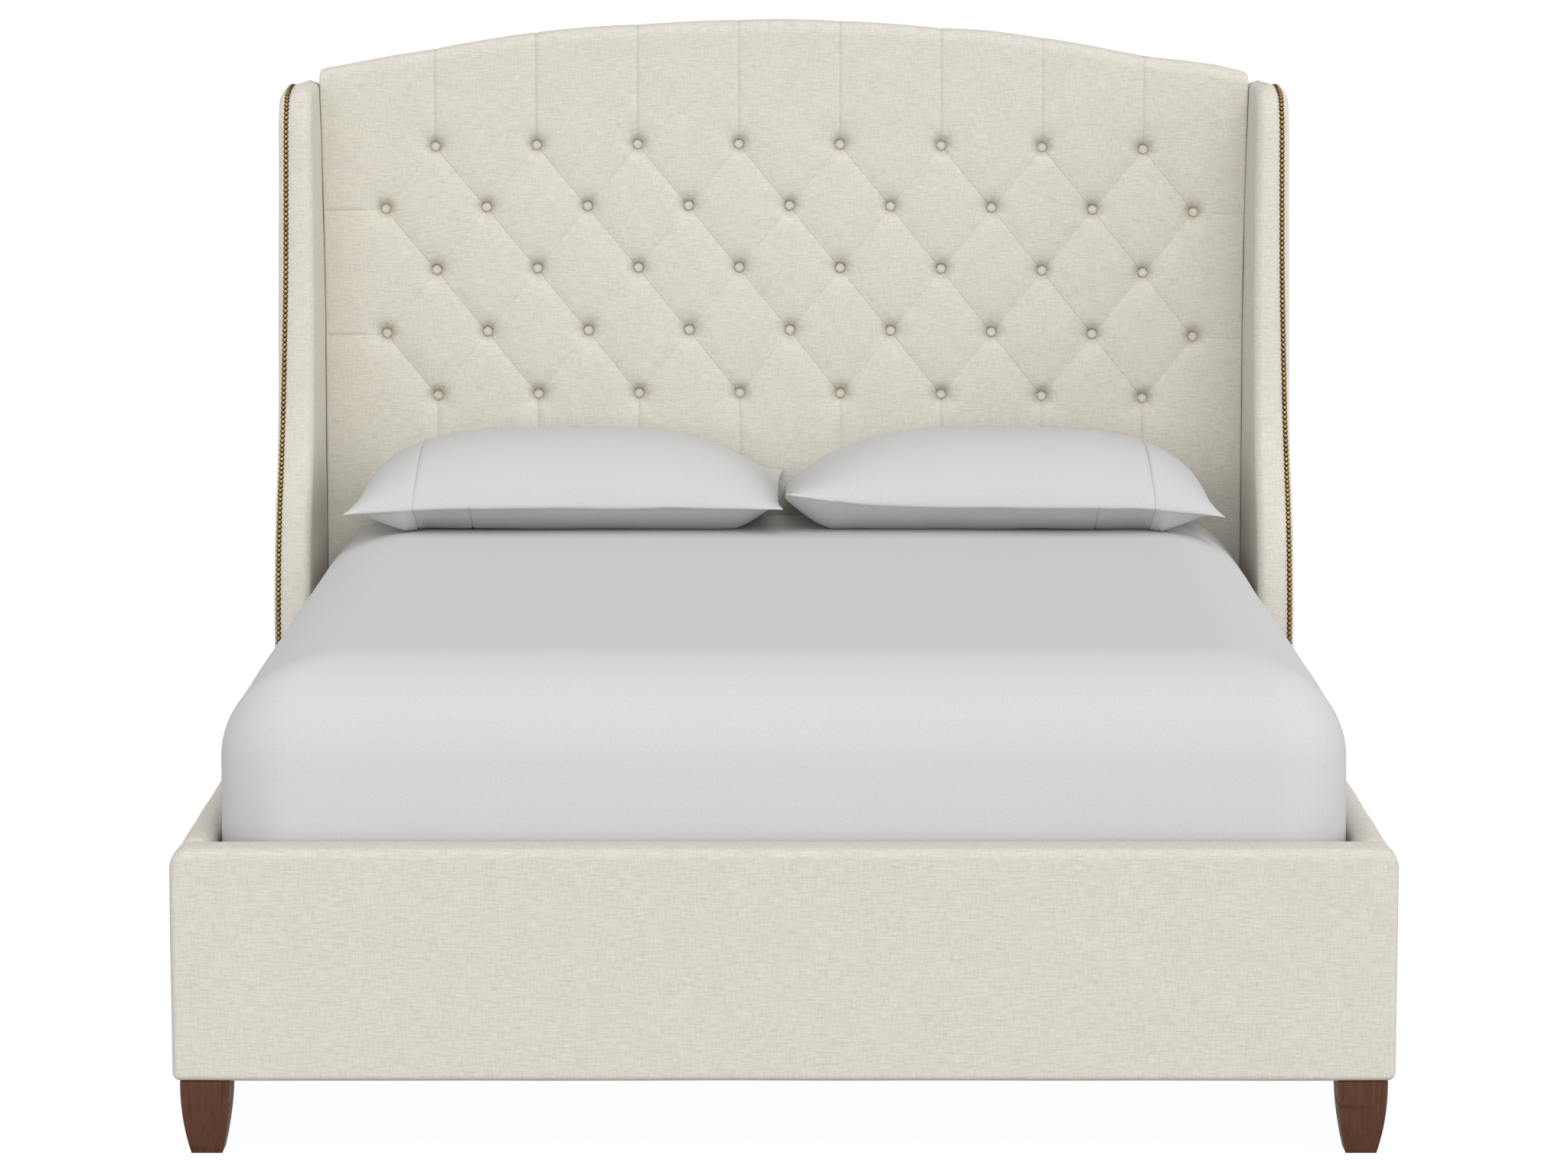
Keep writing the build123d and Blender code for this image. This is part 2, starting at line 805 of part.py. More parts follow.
def head_plate():
    """Right hand flat plate across the joint between rail and wing."""
    half = joint_plate_length / 2
    return box(inner_x - bracket_thickness, inner_x, wing_front_y - half, wing_front_y + half,
               bracket_z, bracket_z + bracket_height)


def side_bolt_places():
    """Starts of the bolts that run outwards into the rail and the wing."""
    reach = bracket_thickness + (bracket_reach - bracket_thickness) * bracket_hole_share
    rail_front = footboard_back_y + reach
    quarter = joint_plate_length * joint_plate_hole_share
    x = inner_x - bracket_thickness
    return [(x, y, z) for y in (rail_front, wing_front_y - quarter, wing_front_y + quarter)
            for z in bolt_heights]


def board_bolt_places():
    """Starts of the bolts that run forwards into the footboard."""
    reach = bracket_thickness + (bracket_reach - bracket_thickness) * bracket_hole_share
    return [(inner_x - reach, footboard_back_y + bracket_thickness, z) for z in bolt_heights]


def board_bolt_depth():
    """Bolt length from the plate's face to the far side of the footboard's core."""
    return bracket_thickness + footboard_depth / 2 + footboard_core_depth / 2 - overrun


def wing_bolt_places():
    """Starts of the bolts from post to wing, in the gaps between the cross rails."""
    bottom, middle, top = cross_rail_heights()
    heights = (bottom + cross_rail_width + wing_bolt_gap, middle - wing_bolt_gap,
               (middle + cross_rail_width + top) / 2)
    return [(inner_x - post_width, (panel_back_y + post_back_y) / 2, height) for height in heights]


rows = tuft_places()
button_places = [place for places in rows for place in places]

right_side_bolts = [bolt(start, (1, 0, 0), bolt_length) for start in side_bolt_places()]
right_side_inserts = [insert(start, (1, 0, 0), bolt_length) for start in side_bolt_places()]
right_board_bolts = [bolt(start, (0, -1, 0), board_bolt_depth()) for start in board_bolt_places()]
right_board_inserts = [insert(start, (0, -1, 0), board_bolt_depth()) for start in board_bolt_places()]
right_wing_bolts = [bolt(start, (1, 0, 0), wing_bolt_length) for start in wing_bolt_places()]
right_cleat_screws = cleat_screws()
right_slat_screws = slat_screws()
shoe_bolts = [bolt(start, (0, -1, 0), board_bolt_depth())
              for start in hanger_bolts(footboard_back_y, 1)]
shoe_inserts = [insert(start, (0, -1, 0), board_bolt_depth())
                for start in hanger_bolts(footboard_back_y, 1)]
shoe_bolt_head_length = hanger_plate_thickness + panel_thickness - overrun
shoe_bolts_head = [bolt(start, (0, 1, 0), shoe_bolt_head_length)
                   for start in hanger_bolts(panel_front_y, -1)]

# Footboard
board_tools = (right_board_bolts + right_board_inserts + shoe_bolts + shoe_inserts
               + [mirrored(tool) for tool in right_board_bolts + right_board_inserts])
hanger = make_hanger_bolt()
save("footboard_core", without(make_footboard_core(), board_tools + [hanger, mirrored(hanger)]))
save("footboard_cover", without(make_footboard_cover(), board_tools))

# Front legs
front_leg = make_front_leg()
save("front_leg_right", front_leg)
save("front_leg_left", mirrored(front_leg))
save("front_leg_plates", both(leg_plate_box(*bolt_middle()) - hanger))
save("front_leg_bolts", both(hanger))
save("leg_glides", both(group([glide(*leg_middle()), glide(*post_foot())])))

# Side rails
side_tools = right_side_bolts + right_side_inserts + right_cleat_screws
rail_core = without(make_rail_core(), side_tools)
save("side_rail_core_right", rail_core)
save("side_rail_core_left", mirrored(rail_core))
rail_cover = without(make_rail_cover(), side_tools)
save("side_rail_cover_right", rail_cover)
save("side_rail_cover_left", mirrored(rail_cover))

# Cleats under the slat ends
rail_cleat = box(inner_x - cleat_width, inner_x, footboard_back_y + cleat_foot_gap, wing_front_y,
                 cleat_z, slat_z)
rail_cleat = without(rail_cleat, right_cleat_screws + right_slat_screws)
save("slat_cleat_right", rail_cleat)
save("slat_cleat_left", mirrored(rail_cleat))
wing_cleat = box(inner_x - cleat_width, inner_x, wing_front_y, panel_front_y, cleat_z, slat_z)
wing_cleat = without(wing_cleat, right_cleat_screws + right_slat_screws)
save("wing_cleat_right", wing_cleat)
save("wing_cleat_left", mirrored(wing_cleat))
save("cleat_screws", both(group(right_cleat_screws)))

# Slats
slat_reach = inner_x - slat_end_gap
slats = []
for y in slat_places():
    slat = box(-slat_reach, slat_reach, y, y + slat_width, slat_z, slat_top_z)
    tools = [tool for tool in right_slat_screws if abs(tool.center().Y - y - slat_width / 2) < overrun]
    slats.append(without(slat, tools + [mirrored(tool) for tool in tools]))
save("slats", group(slats))
save("slat_screws", both(group(right_slat_screws)))
strap_x = inner_x - webbing_inset
webbing = box(strap_x - webbing_width / 2, strap_x + webbing_width / 2, slat_places()[0],
              slat_places()[-1] + slat_width, slat_z - webbing_thickness, slat_z)
save("slat_webbing", both(webbing))

# Middle beam and its legs
leg_bolts = [centre_leg_bolt(y) for y in centre_leg_places()]
save("centre_beam", without(make_beam(), leg_bolts))
shoes = [beam_hanger(footboard_back_y, 1), beam_hanger(panel_front_y, -1)]
save("beam_shoes", group([without(shoe, shoe_bolts + shoe_bolts_head) for shoe in shoes]))
save("centre_leg_bolts", group(leg_bolts))
for name, y in zip(("front", "rear"), centre_leg_places()):
    save(f"centre_leg_{name}", make_centre_leg(y))
    save(f"leveller_pad_{name}", make_leveller_pad(y))
    save(f"leveller_stud_{name}", make_leveller_stud(y))
save("t_nuts", group([make_t_nut(y) for y in centre_leg_places()]))

# Corner hardware
save("foot_brackets", both(without(foot_bracket(), right_side_bolts + right_board_bolts)))
save("head_plates", both(without(head_plate(), right_side_bolts)))
frame_bolts = [both(group(right_side_bolts + right_board_bolts)), group(shoe_bolts + shoe_bolts_head)]
save("frame_bolts", group(frame_bolts))
save("threaded_inserts", group([both(group(right_side_inserts + right_board_inserts)),
                                group(shoe_inserts)]))

# Headboard
panel = slab_along_y(panel_face(leg_height), panel_front_y, panel_back_y)
panel = panel.cut(*shank_holes(button_places, panel_front_y - overrun, panel_back_y + overrun))
save("headboard_panel", without(panel, shoe_bolts_head))
post = without(make_posts(), right_wing_bolts + [glide_stem(*post_foot())])
save("headboard_post_right", post)
save("headboard_post_left", mirrored(post))
save("headboard_cross_rails", group(make_cross_rails()))
save("headboard_pad", make_pad(rows))
save("tuft_buttons", group([button(x, z) for x, z in button_places]))
save("tuft_washers", group([washer(x, z) for x, z in button_places]))
back_face = arch_face(panel_half, leg_height, back_cover_thickness, headboard_corner_radius)
save("headboard_back_cover", slab_along_y(back_face, post_back_y, back_y))

# Wings
wing_tools = right_wing_bolts + right_side_bolts + right_side_inserts + right_cleat_screws
wing_core = without(make_wing_core(), wing_tools)
save("wing_core_right", wing_core)
save("wing_core_left", mirrored(wing_core))
wing_cover = without(make_wing_cover(), wing_tools)
save("wing_cover_right", wing_cover)
save("wing_cover_left", mirrored(wing_cover))
save("wing_bolts", both(group(right_wing_bolts)))
nails = group([nail(place, outward) for place, outward in nail_places()])
save("nail_trim_right", nails)
save("nail_trim_left", mirrored(nails))

# Bedding
save("mattress", make_mattress())
pillow = make_pillow()
save("pillow_right", pillow)
save("pillow_left", mirrored(pillow))
print("nails on each wing", len(nails.solids()), "overall length", overall_length)
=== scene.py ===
import math

import bmesh
import bpy
import numpy as np
from bpy.props import FloatProperty, FloatVectorProperty, IntProperty, PointerProperty
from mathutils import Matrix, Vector, noise


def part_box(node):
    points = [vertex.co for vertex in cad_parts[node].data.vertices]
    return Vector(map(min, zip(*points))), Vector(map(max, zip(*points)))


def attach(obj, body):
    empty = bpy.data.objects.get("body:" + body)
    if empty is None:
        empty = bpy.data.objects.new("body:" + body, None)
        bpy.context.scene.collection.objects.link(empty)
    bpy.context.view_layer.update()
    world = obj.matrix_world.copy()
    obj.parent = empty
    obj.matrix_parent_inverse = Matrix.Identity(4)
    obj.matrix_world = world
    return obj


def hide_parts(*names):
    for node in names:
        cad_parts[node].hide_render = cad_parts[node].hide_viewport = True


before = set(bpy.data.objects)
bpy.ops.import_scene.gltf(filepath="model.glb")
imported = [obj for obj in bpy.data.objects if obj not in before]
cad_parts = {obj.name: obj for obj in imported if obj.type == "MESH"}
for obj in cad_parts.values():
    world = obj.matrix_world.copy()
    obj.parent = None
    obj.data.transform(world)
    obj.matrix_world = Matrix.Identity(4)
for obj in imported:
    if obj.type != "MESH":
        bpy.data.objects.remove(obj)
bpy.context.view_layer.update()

bl_info = {
    "name": "Wingback bed",
    "version": (1, 0, 0),
    "blender": (4, 5, 0),
    "location": "View3D > Sidebar > Bed",
    "description": "Dresses the frame of an upholstered wingback bed in cloth, foam, wood and brass",
    "category": "Object",
}

# What a mesh carries: its map in metres, the way that copies on it face, and marks for its finish.
CLOTH_MAP = "cloth"
FACING = "facing"
MARKS = "marks"
SIDES = {"left": -1, "right": 1}
QUARTER = math.pi / 2
# Gap between a padded piece and what it presses on, and how close two points are one, in metres.
SNUG = 0.0003
WELD = 1e-6
# Crest of the cushion: place as a share of its half width, and how far it sinks there, in metres.
CREST = ((-1.0, -0.001), (-0.95, 0.0), (-0.86, 0.0006), (-0.79, 0.0023), (-0.54, -0.0007), (-0.43, 0.0006),
         (-0.29, 0.0033), (0.0, 0.0028), (0.14, 0.0046), (0.34, 0.0078), (0.44, 0.0050), (0.62, 0.0076),
         (0.74, 0.0109), (0.81, 0.0106), (0.88, 0.0062), (0.94, 0.0030), (1.0, 0.0045))
# How the stuffing pulled the tufting, sideways and upwards: the whole pattern in metres, then what a metre to
# the right and a metre up add, and their squares. The pull grows no more beyond a height from the middle row.
PULL_ASIDE = (0.0017, 0.0015, -0.003)
PULL_UP = (0.001, -0.0039, -0.0064, -0.018, -0.05)
PULL_HEIGHT = 0.30
# Cells across and along a pillow, and half the width of the strip of cells at a hem, as a share.
PILLOW_CELLS = (96, 64)
HEM_STRIP = 0.006
# Heights of each pillow's tips over the mattress, and how far its inner side draws in, in metres.
PILLOW_TIPS = {
    "left": {"outer front": 0.034, "inner front": 0.043, "outer back": 0.034, "inner back": 0.062,
             "inner pull": 0.008},
    "right": {"outer front": 0.030, "inner front": 0.067, "outer back": 0.046, "inner back": 0.030,
              "inner pull": 0.001},
}
# The pillowcases as cloth, and how many frames they settle for.
PILLOW_CLOTH = {"quality": 5, "mass": 0.25, "tension_stiffness": 12, "compression_stiffness": 12,
                "shear_stiffness": 6, "bending_stiffness": 0.6, "air_damping": 4, "use_pressure": True,
                "uniform_pressure_force": 1.6}
SETTLE_FRAMES = 14
# Where each light comes from, in metres from the bed's middle.
LIGHTS = {"key": (1.3, -5.5, 4.8), "front": (-0.9, -7.0, 0.2), "side": (6.8, -2.4, 1.8)}
WHITE = (1.0, 1.0, 1.0, 1.0)


def a_length(name, description, metres):
    return FloatProperty(name=name, description=description, default=metres, unit="LENGTH")


def an_angle(name, description, degrees):
    return FloatProperty(name=name, description=description, default=math.radians(degrees), subtype="ANGLE")


def a_number(name, description, value):
    return FloatProperty(name=name, description=description, default=value)


def a_share(name, description, share):
    return FloatProperty(name=name, description=description, default=share, subtype="FACTOR")


def a_colour(name, description, rgb):
    return FloatVectorProperty(name=name, description=description, default=rgb, subtype="COLOR")


class TuftingSizes(bpy.types.PropertyGroup):
    """Sizes of the headboard's cushion and its buttons."""
    rows: IntProperty(name="Rows", description="Rows of buttons", default=5)
    columns: IntProperty(name="Columns", description="Buttons in the longer rows", default=9)
    cells: IntProperty(name="Cells", description="Mesh cells between two rows of buttons", default=22)
    sagitta: a_length("Arch rise", "Rise of the arch over its springing", 0.085)
    edge_roll: a_length("Edge roll", "Radius of the cushion's upper edge", 0.020)
    side_roll: a_length("Side roll", "Radius of the edges that press on the wings", 0.0036)
    lip: a_length("Top cover", "Foam over the panel's arch", 0.015)
    fold_depth: a_length("Fold depth", "Depth of a fold half way between buttons", 0.0062)
    fold_end_depth: a_length("Fold depth at a button", "Depth of a fold at its ends", 0.017)
    fold_width: a_length("Fold width", "Reach of a fold's crisp part", 0.0026)
    puff_width: a_length("Puff width", "Reach of the soft flank beside a fold", 0.023)
    pleat_depth: a_length("Pleat depth", "Depth of the straight pleats", 0.0032)
    # Width of the painted shade line that darkens each fold's crease.
    line_width: a_length("Fold line", "Half the width of the dark line in a fold", 0.0010)
    dimple_depth: a_length("Dimple depth", "Depth of the cloth at a button", 0.0262)
    dimple_radius: a_length("Dimple radius", "Reach of the dimple round a button", 0.0066)
    button_radius: a_length("Button radius", "Radius of a covered button", 0.0075)


class WingSizes(bpy.types.PropertyGroup):
    """Outline of a wing, as the frame has it, the roll of its padding and its nails."""
    knee: a_length("Knee height", "Height where the front edge starts to sweep back", 0.480)
    sweep: a_length("Sweep", "How far the front edge sweeps back", 0.128)
    sweep_radius: a_length("Sweep radius", "Radius of both bends of the sweep", 0.436)
    lean: an_angle("Lean", "Lean of the upper front edge", 7)
    top_radius: a_length("Top radius", "Radius between front edge and top", 0.085)
    top_drop: a_length("Top drop", "How far the padding's top settles", 0.0075)
    back_radius: a_length("Back radius", "Radius between top and back", 0.030)
    base_radius: a_length("Base radius", "Radius of the lower corners", 0.010)
    roll: a_length("Roll", "Radius of the padded inner edge", 0.014)
    base_roll: a_length("Base roll", "Radius of the inner edge at base and back", 0.005)
    crown: a_length("Crown", "How far the padded top stands up between its edges", 0.0030)
    shoulder_in: a_length("Shoulder", "How far the nails move in over the top", 0.0030)
    shoulder_drop: a_length("Shoulder drop", "How far the nails sink over the top", 0.0022)
    shoulder_edge: a_length("Shoulder edge", "Extra roundness of the outer top edge", 0.023)
    outer_edge: a_length("Outer edge", "Roundness of the outer edge beside the nails", 0.0048)
    flare: a_length("Flare", "How far the inner face leans out at the top", 0.0070)
    bulge: a_length("Bulge", "How far the padded edge stands proud of the nails", 0.0035)
    nail_line: a_length("Nail line", "Distance of the nails from the outer face", 0.0068)
    nail_drift: a_length("Nail drift", "How far the nails move in towards the top", 0.005)
    nail_pitch: a_length("Nail pitch", "Distance from nail to nail", 0.0079)
    nail_radius: a_length("Nail radius", "Radius of a nail's head", 0.0043)
    nail_height: a_length("Nail height", "Height of a nail's dome", 0.0030)
    nail_lift: a_length("Nail lift", "How far the nails' rims stand off the cloth", 0.0006)


class BoardSizes(bpy.types.PropertyGroup):
    """Sizes of the footboard's and the rails' padding, the front legs, and the backing with its staples."""
    board_roll: a_length("Footboard roll", "How far the footboard's sides draw in at its faces", 0.0085)
    board_edge: a_length("Footboard edge", "Depth of the footboard's rounded edge", 0.0145)
    board_corner: a_length("Footboard corner", "Radius of the footboard's upper corners", 0.026)
    board_base: a_length("Footboard base corner", "Radius of the footboard's lower corners", 0.012)
    board_crown: a_length("Footboard crown", "Rise of the footboard's upper edge across its depth", 0.0012)
    board_taper: a_number("Footboard taper", "Share by which each half is narrower, twice that at its base",
                          0.0014)
    rail_edge: a_length("Rail edge", "Radius of a side rail's upper edges", 0.0205)
    rail_base: a_length("Rail base edge", "Radius of a side rail's lower edges", 0.008)
    leg_spread: a_length("Leg spread", "How far the front legs' feet are set outwards", 0.0032)
    backing_corner: a_length("Backing corner", "Radius of the backing's upper corners", 0.020)
    backing_base: a_length("Backing base corner", "Radius of the backing's lower corners", 0.006)
    staple_inset: a_length("Staple inset", "Distance of the staples from the backing's edge", 0.012)
    staple_pitch: a_length("Staple pitch", "Distance from staple to staple", 0.045)
    staple_width: a_length("Staple width", "Width of a staple's crown", 0.012)
    staple_wire: a_length("Staple wire", "Thickness of a staple's wire", 0.0007)


class BeddingSizes(bpy.types.PropertyGroup):
    """Sizes of the mattress and the pillows."""
    corner: a_length("Mattress corner", "Radius of the corners at the foot", 0.105)
    head_corner: a_length("Head corner", "Radius of the corners at the headboard", 0.065)
    shoulder: a_length("Mattress shoulder", "Width of the mattress's rounded shoulder", 0.165)
    shoulder_drop: a_length("Shoulder drop", "Height of the rounded shoulder", 0.140)
    shoulder_fullness: a_number("Shoulder fullness", "2 is an ellipse, more is squarer", 2.05)
    base_edge: a_length("Mattress base edge", "Radius of the mattress's lower edge", 0.030)
    pillow_pull: a_length("Pillow pull", "How far a pillow's sides draw in", 0.020)
    pillow_seam: a_length("Pillow seam", "Height of a pillow's edge seam", 0.044)
    pillow_crown: a_length("Pillow crown", "Height of a pillow's middle", 0.1515)
    hem: a_length("Hem", "Depth of the hem at a pillowcase's mouth", 0.112)
    hem_back: a_length("Under hem", "Place of the second seam below the pillow", 0.203)
    settle_limit: a_length("Settling", "How far the cloth may move as it settles", 0.0010)


class StageSizes(bpy.types.PropertyGroup):
    """Camera and lights."""
    lens: a_number("Lens", "Focal length for a 36 mm wide sensor, in millimetres", 133.59)
    distance: a_length("Distance", "From the footboard to the camera", 7.599)
    height: a_length("Height", "Height of the camera", 1.6663)
    tilt: an_angle("Tilt", "How far the camera looks down", 6.776)
    sky: a_number("Sky", "Strength of the even light", 0.70)
    key: a_number("Key light", "Strength of the light from above", 0.82)
    front: a_number("Front light", "Strength of the low light from the front", 0.87)
    side: a_number("Side light", "Strength of the light from the right", 0.48)
    softness: an_angle("Softness", "Width of the lights as seen from the bed", 32)
    shade: a_share("Floor shade", "Share of the shadow that the floor shows", 0.08)


class Finishes(bpy.types.PropertyGroup):
    """Colours of the finishes."""
    linen: a_colour("Linen", "Cloth of headboard, wings, rails and footboard", (0.692, 0.660, 0.593))
    fleck: a_colour("Fleck", "Darker yarns in the linen", (0.565, 0.505, 0.400))
    sheet: a_colour("Sheet", "Fitted sheet of the mattress", (0.643, 0.643, 0.643))
    pillow: a_colour("Pillow", "Pillowcases", (0.610, 0.610, 0.612))
    backing: a_colour("Backing", "Cloth behind the headboard", (0.055, 0.052, 0.050))
    stain: a_colour("Stain", "Stained wood of the front legs", (0.098, 0.040, 0.021))
    pine: a_colour("Pine", "Timber inside the frame", (0.62, 0.44, 0.26))
    slat: a_colour("Slat wood", "Timber of the slats", (0.68, 0.53, 0.35))
    ply: a_colour("Plywood", "Plywood of panel and wings", (0.60, 0.44, 0.27))
    webbing: a_colour("Webbing", "Straps under the slats", (0.72, 0.70, 0.64))
    brass: a_colour("Brass", "Antique brass of the nails", (0.460, 0.280, 0.090))
    black: a_colour("Black", "Painted steel and plastic", (0.022, 0.022, 0.023))
    zinc: a_colour("Zinc", "Plated bolts, screws and plates", (0.58, 0.58, 0.60))


class Wire:
    """An output socket of a node; sums and products with it add Math nodes to its tree."""

    def __init__(self, maker, socket):
        self.maker = maker
        self.socket = socket

    def __add__(self, other):
        return self.maker.maths("ADD", self, other)

    def __radd__(self, other):
        return self.maker.maths("ADD", other, self)

    def __sub__(self, other):
        return self.maker.maths("SUBTRACT", self, other)

    def __rsub__(self, other):
        return self.maker.maths("SUBTRACT", other, self)

    def __mul__(self, other):
        return self.maker.maths("MULTIPLY", self, other)

    def __rmul__(self, other):
        return self.maker.maths("MULTIPLY", other, self)

    def __pow__(self, other):
        return self.maker.maths("POWER", self, other)

    def __mod__(self, other):
        return self.maker.maths("FLOORED_MODULO", self, other)

    def __abs__(self):
        return self.maker.maths("ABSOLUTE", self)

    def __gt__(self, other):
        return self.maker.maths("GREATER_THAN", self, other)

    def __lt__(self, other):
        return self.maker.maths("LESS_THAN", self, other)


class Maker:
    """Adds nodes to the tree of a material, the world or a geometry modifier."""

    def __init__(self, tree):
        self.tree = tree
        tree.nodes.clear()

    def node(self, kind, settings=None, sockets=None, out=0):
        """A node with its settings, and then its sockets' values and links; gives one of its outputs."""
        node = self.tree.nodes.new(kind)
        for name, value in (settings or {}).items():
            setattr(node, name, value)
        for name, value in (sockets or {}).items():
            if isinstance(value, Wire):
                self.tree.links.new(value.socket, node.inputs[name])
            else:
                node.inputs[name].default_value = value
        return Wire(self, node.outputs[out]) if len(node.outputs) else None

    def maths(self, operation, first, second=0.0):
        return self.node("ShaderNodeMath", {"operation": operation}, {0: first, 1: second})

    def axes(self, vector):
        """The three parts of a vector."""
        parts = self.node("ShaderNodeSeparateXYZ", None, {0: vector}).socket.node.outputs
        return [Wire(self, part) for part in parts]

    def mixed(self, factor, first, second, blend="MIX"):
        """Colour between two colours."""
        return self.node("ShaderNodeMix", {"data_type": "RGBA", "blend_type": blend},
                         {0: factor, 6: first, 7: second}, out=2)

    def spread(self, value, low, high, to_low=0.0, to_high=1.0):
        """A value's range stretched to another range and held there."""
        return self.node("ShaderNodeMapRange", {"clamp": True},
                         {0: value, 1: low, 2: high, 3: to_low, 4: to_high})

    def toned(self, value, low, high, colour, first, last):
        """A colour in two shades, given as shares, that a value blends from the first to the last."""
        return self.mixed(self.spread(value, low, high), shaded(colour, first), shaded(colour, last))

    def speckle(self, place, scale, detail, roughness, warp=0.0):
        """Noise with its own scale along each axis, in cycles a metre."""
        scaled = self.node("ShaderNodeMapping", None, {"Vector": place, "Scale": scale})
        return self.node("ShaderNodeTexNoise", {"noise_dimensions": "3D"},
                         {"Vector": scaled, "Scale": 1.0, "Detail": detail, "Roughness": roughness,
                          "Distortion": warp})

    def bump(self, height, distance, strength):
        return self.node("ShaderNodeBump", None,
                         {"Height": height, "Distance": distance, "Strength": strength})


def opaque(colour):
    return (*colour[:3], 1.0)


def shaded(colour, share):
    """A colour made lighter or darker by a share."""
    return opaque([part * share for part in colour[:3]])


def new_finish(name):
    material = bpy.data.materials.new(f"{name} finish")
    material.use_nodes = True
    return material, Maker(material.node_tree)


def close_finish(material, maker, sockets):
    """Principled surface from the sockets given, joined to the material's output."""
    surface = maker.node("ShaderNodeBsdfPrincipled", None, sockets)
    maker.node("ShaderNodeOutputMaterial", None, {"Surface": surface})
    return material


def cloth_place(maker):
    return maker.node("ShaderNodeUVMap", {"uv_map": CLOTH_MAP})


def object_place(maker):
    return maker.node("ShaderNodeTexCoord", None, None, out="Object")


def marked(maker):
    """The three marks that each point of a mesh carries for its finish."""
    return maker.axes(maker.node("ShaderNodeAttribute", {"attribute_name": MARKS}, None, out="Vector"))


def tuft_rows():
    """Button places as rows of (X, Z) from the top row down, their distance across, and from row to row."""
    sizes = bpy.context.scene.bed_tufting
    low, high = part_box("tuft_buttons")
    middle = (low.x + high.x) / 2
    pitch = (high.x - low.x - 2 * sizes.button_radius) / (sizes.columns - 1)
    top = high.z - sizes.button_radius
    fall = (high.z - low.z - 2 * sizes.button_radius) / (sizes.rows - 1)
    rows = []
    for row in range(sizes.rows):
        count = sizes.columns - (row + 1) % 2
        first = middle - pitch * (count - 1) / 2
        rows.append([(first + column * pitch, top - row * fall) for column in range(count)])
    return rows, pitch, fall


def middle_height(rows):
    return (rows[0][0][1] + rows[-1][0][1]) / 2


def pulled(x, height):
    """How far the stuffing pulled a place of the tufting sideways and upwards.

    Its height is counted from the middle row.
    """
    whole, right, up = PULL_ASIDE
    aside = whole + x * right + height * up
    whole, right, up, right_bend, up_bend = PULL_UP
    return aside, whole + x * right + height * up + x * x * right_bend + height * height * up_bend


def fold_shade_mask(maker):
    """Painted shade along the cushion's folds and pleats, which run through its buttons: one in their dark
    lines and zero elsewhere.

    Across and down count columns and rows of buttons, half a column at a time.
    """
    sizes = bpy.context.scene.bed_tufting
    rows, pitch, fall = tuft_rows()
    middle = (rows[0][0][0] + rows[0][-1][0]) / 2
    top = rows[0][0][1]
    x, _, z = maker.axes(object_place(maker))
    aside, up = pulled(x, z - middle_height(rows))
    across = (x - aside - middle) * (2 / pitch)
    down = (top - z + up) * (1 / fall)
    steep = math.hypot(2 / pitch, 1 / fall)
    last = sizes.rows - 1
    second_crease = 0.0034

    # A dark line of painted shade, full at a crease and fading out over its width.
    def line(distance):
        return maker.spread(abs(distance), sizes.line_width, sizes.line_width * 0.25)

    among_rows = (down > 0) * (down < last)
    inside = among_rows * (abs(across) < sizes.columns - 1)
    beyond = (1.0 - among_rows) * (abs(across) < sizes.columns - 1.5)
    outside = (abs(across) > sizes.columns - 1) * among_rows
    # Painted shade in the folds: strongest in the falling folds, fainter in the rising folds, the pleats and
    # the level creases.
    falling = line(((across - down) % 2.0 - 1.0) * (1 / steep))
    rising = line(((across + down) % 2.0 - 1.0) * (1 / steep)) * 0.4
    upright = (across % 2.0 - 1.0) * (pitch / 2)
    pleat = line(upright) * 0.5 + line(upright - second_crease) * 0.15
    level = line((down % 2.0 - 1.0) * fall) * 0.6
    return (falling + rising) * inside + pleat * beyond + level * outside


def linen_finish(name, shaded_folds):
    """Plain weave with thick and thin weft yarns, beige flecks and faint upright threads; painted shade
    darkens its folds where asked.
    """
    colours = bpy.context.scene.bed_finishes
    material, maker = new_finish(name)
    place = cloth_place(maker)
    along_yarn, across_yarn = 50, 540
    weft = maker.speckle(place, (along_yarn, across_yarn, 1), 2.0, 0.6)
    warp = maker.speckle(place, (across_yarn, along_yarn, 1), 2.0, 0.6)
    slub = maker.speckle(place, (30, 460, 1), 2.0, 0.55)
    patch = maker.speckle(place, (12, 19, 1), 3.0, 0.6)
    blush = maker.speckle(place, (18, 60, 1), 2.0, 0.6)
    weave = weft * 0.55 + warp * 0.45
    tone = maker.toned(weave, 0.40, 0.60, colours.linen, 0.905, 1.085)
    yarn = maker.spread(slub, 0.57, 0.72, 0.0, 0.50)
    tone = maker.mixed(yarn, tone, opaque(colours.fleck))
    thread = maker.spread(warp, 0.60, 0.76, 0.0, 0.28)
    tone = maker.mixed(thread, tone, opaque(colours.fleck))
    cool, warm, rosy = (0.985, 0.987, 0.992, 1.0), (1.01, 1.009, 1.006, 1.0), (1.0, 0.975, 0.925, 1.0)
    tint = maker.mixed(maker.spread(patch, 0.35, 0.65), cool, warm)
    tone = maker.mixed(1.0, tone, tint, "MULTIPLY")
    warmth = maker.spread(blush, 0.54, 0.70, 0.0, 0.35)
    tone = maker.mixed(warmth, tone, maker.mixed(1.0, tone, rosy, "MULTIPLY"))
    height = weft * 0.5 + warp * 0.5 + slub * 0.3
    if shaded_folds:
        # Painted shade along the folds: the linen is darkened in each crease, which the bump also sinks.
        line = fold_shade_mask(maker)
        tone = maker.mixed(line * 0.40, tone, shaded(colours.linen, 0.42))
        height = height - line
    return close_finish(material, maker, {
        "Base Color": tone,
        "Roughness": maker.spread(weave, 0.3, 0.7, 0.88, 0.98),
        "Normal": maker.bump(height, 0.0005, 0.4),
        "Specular IOR Level": 0.08,
    })


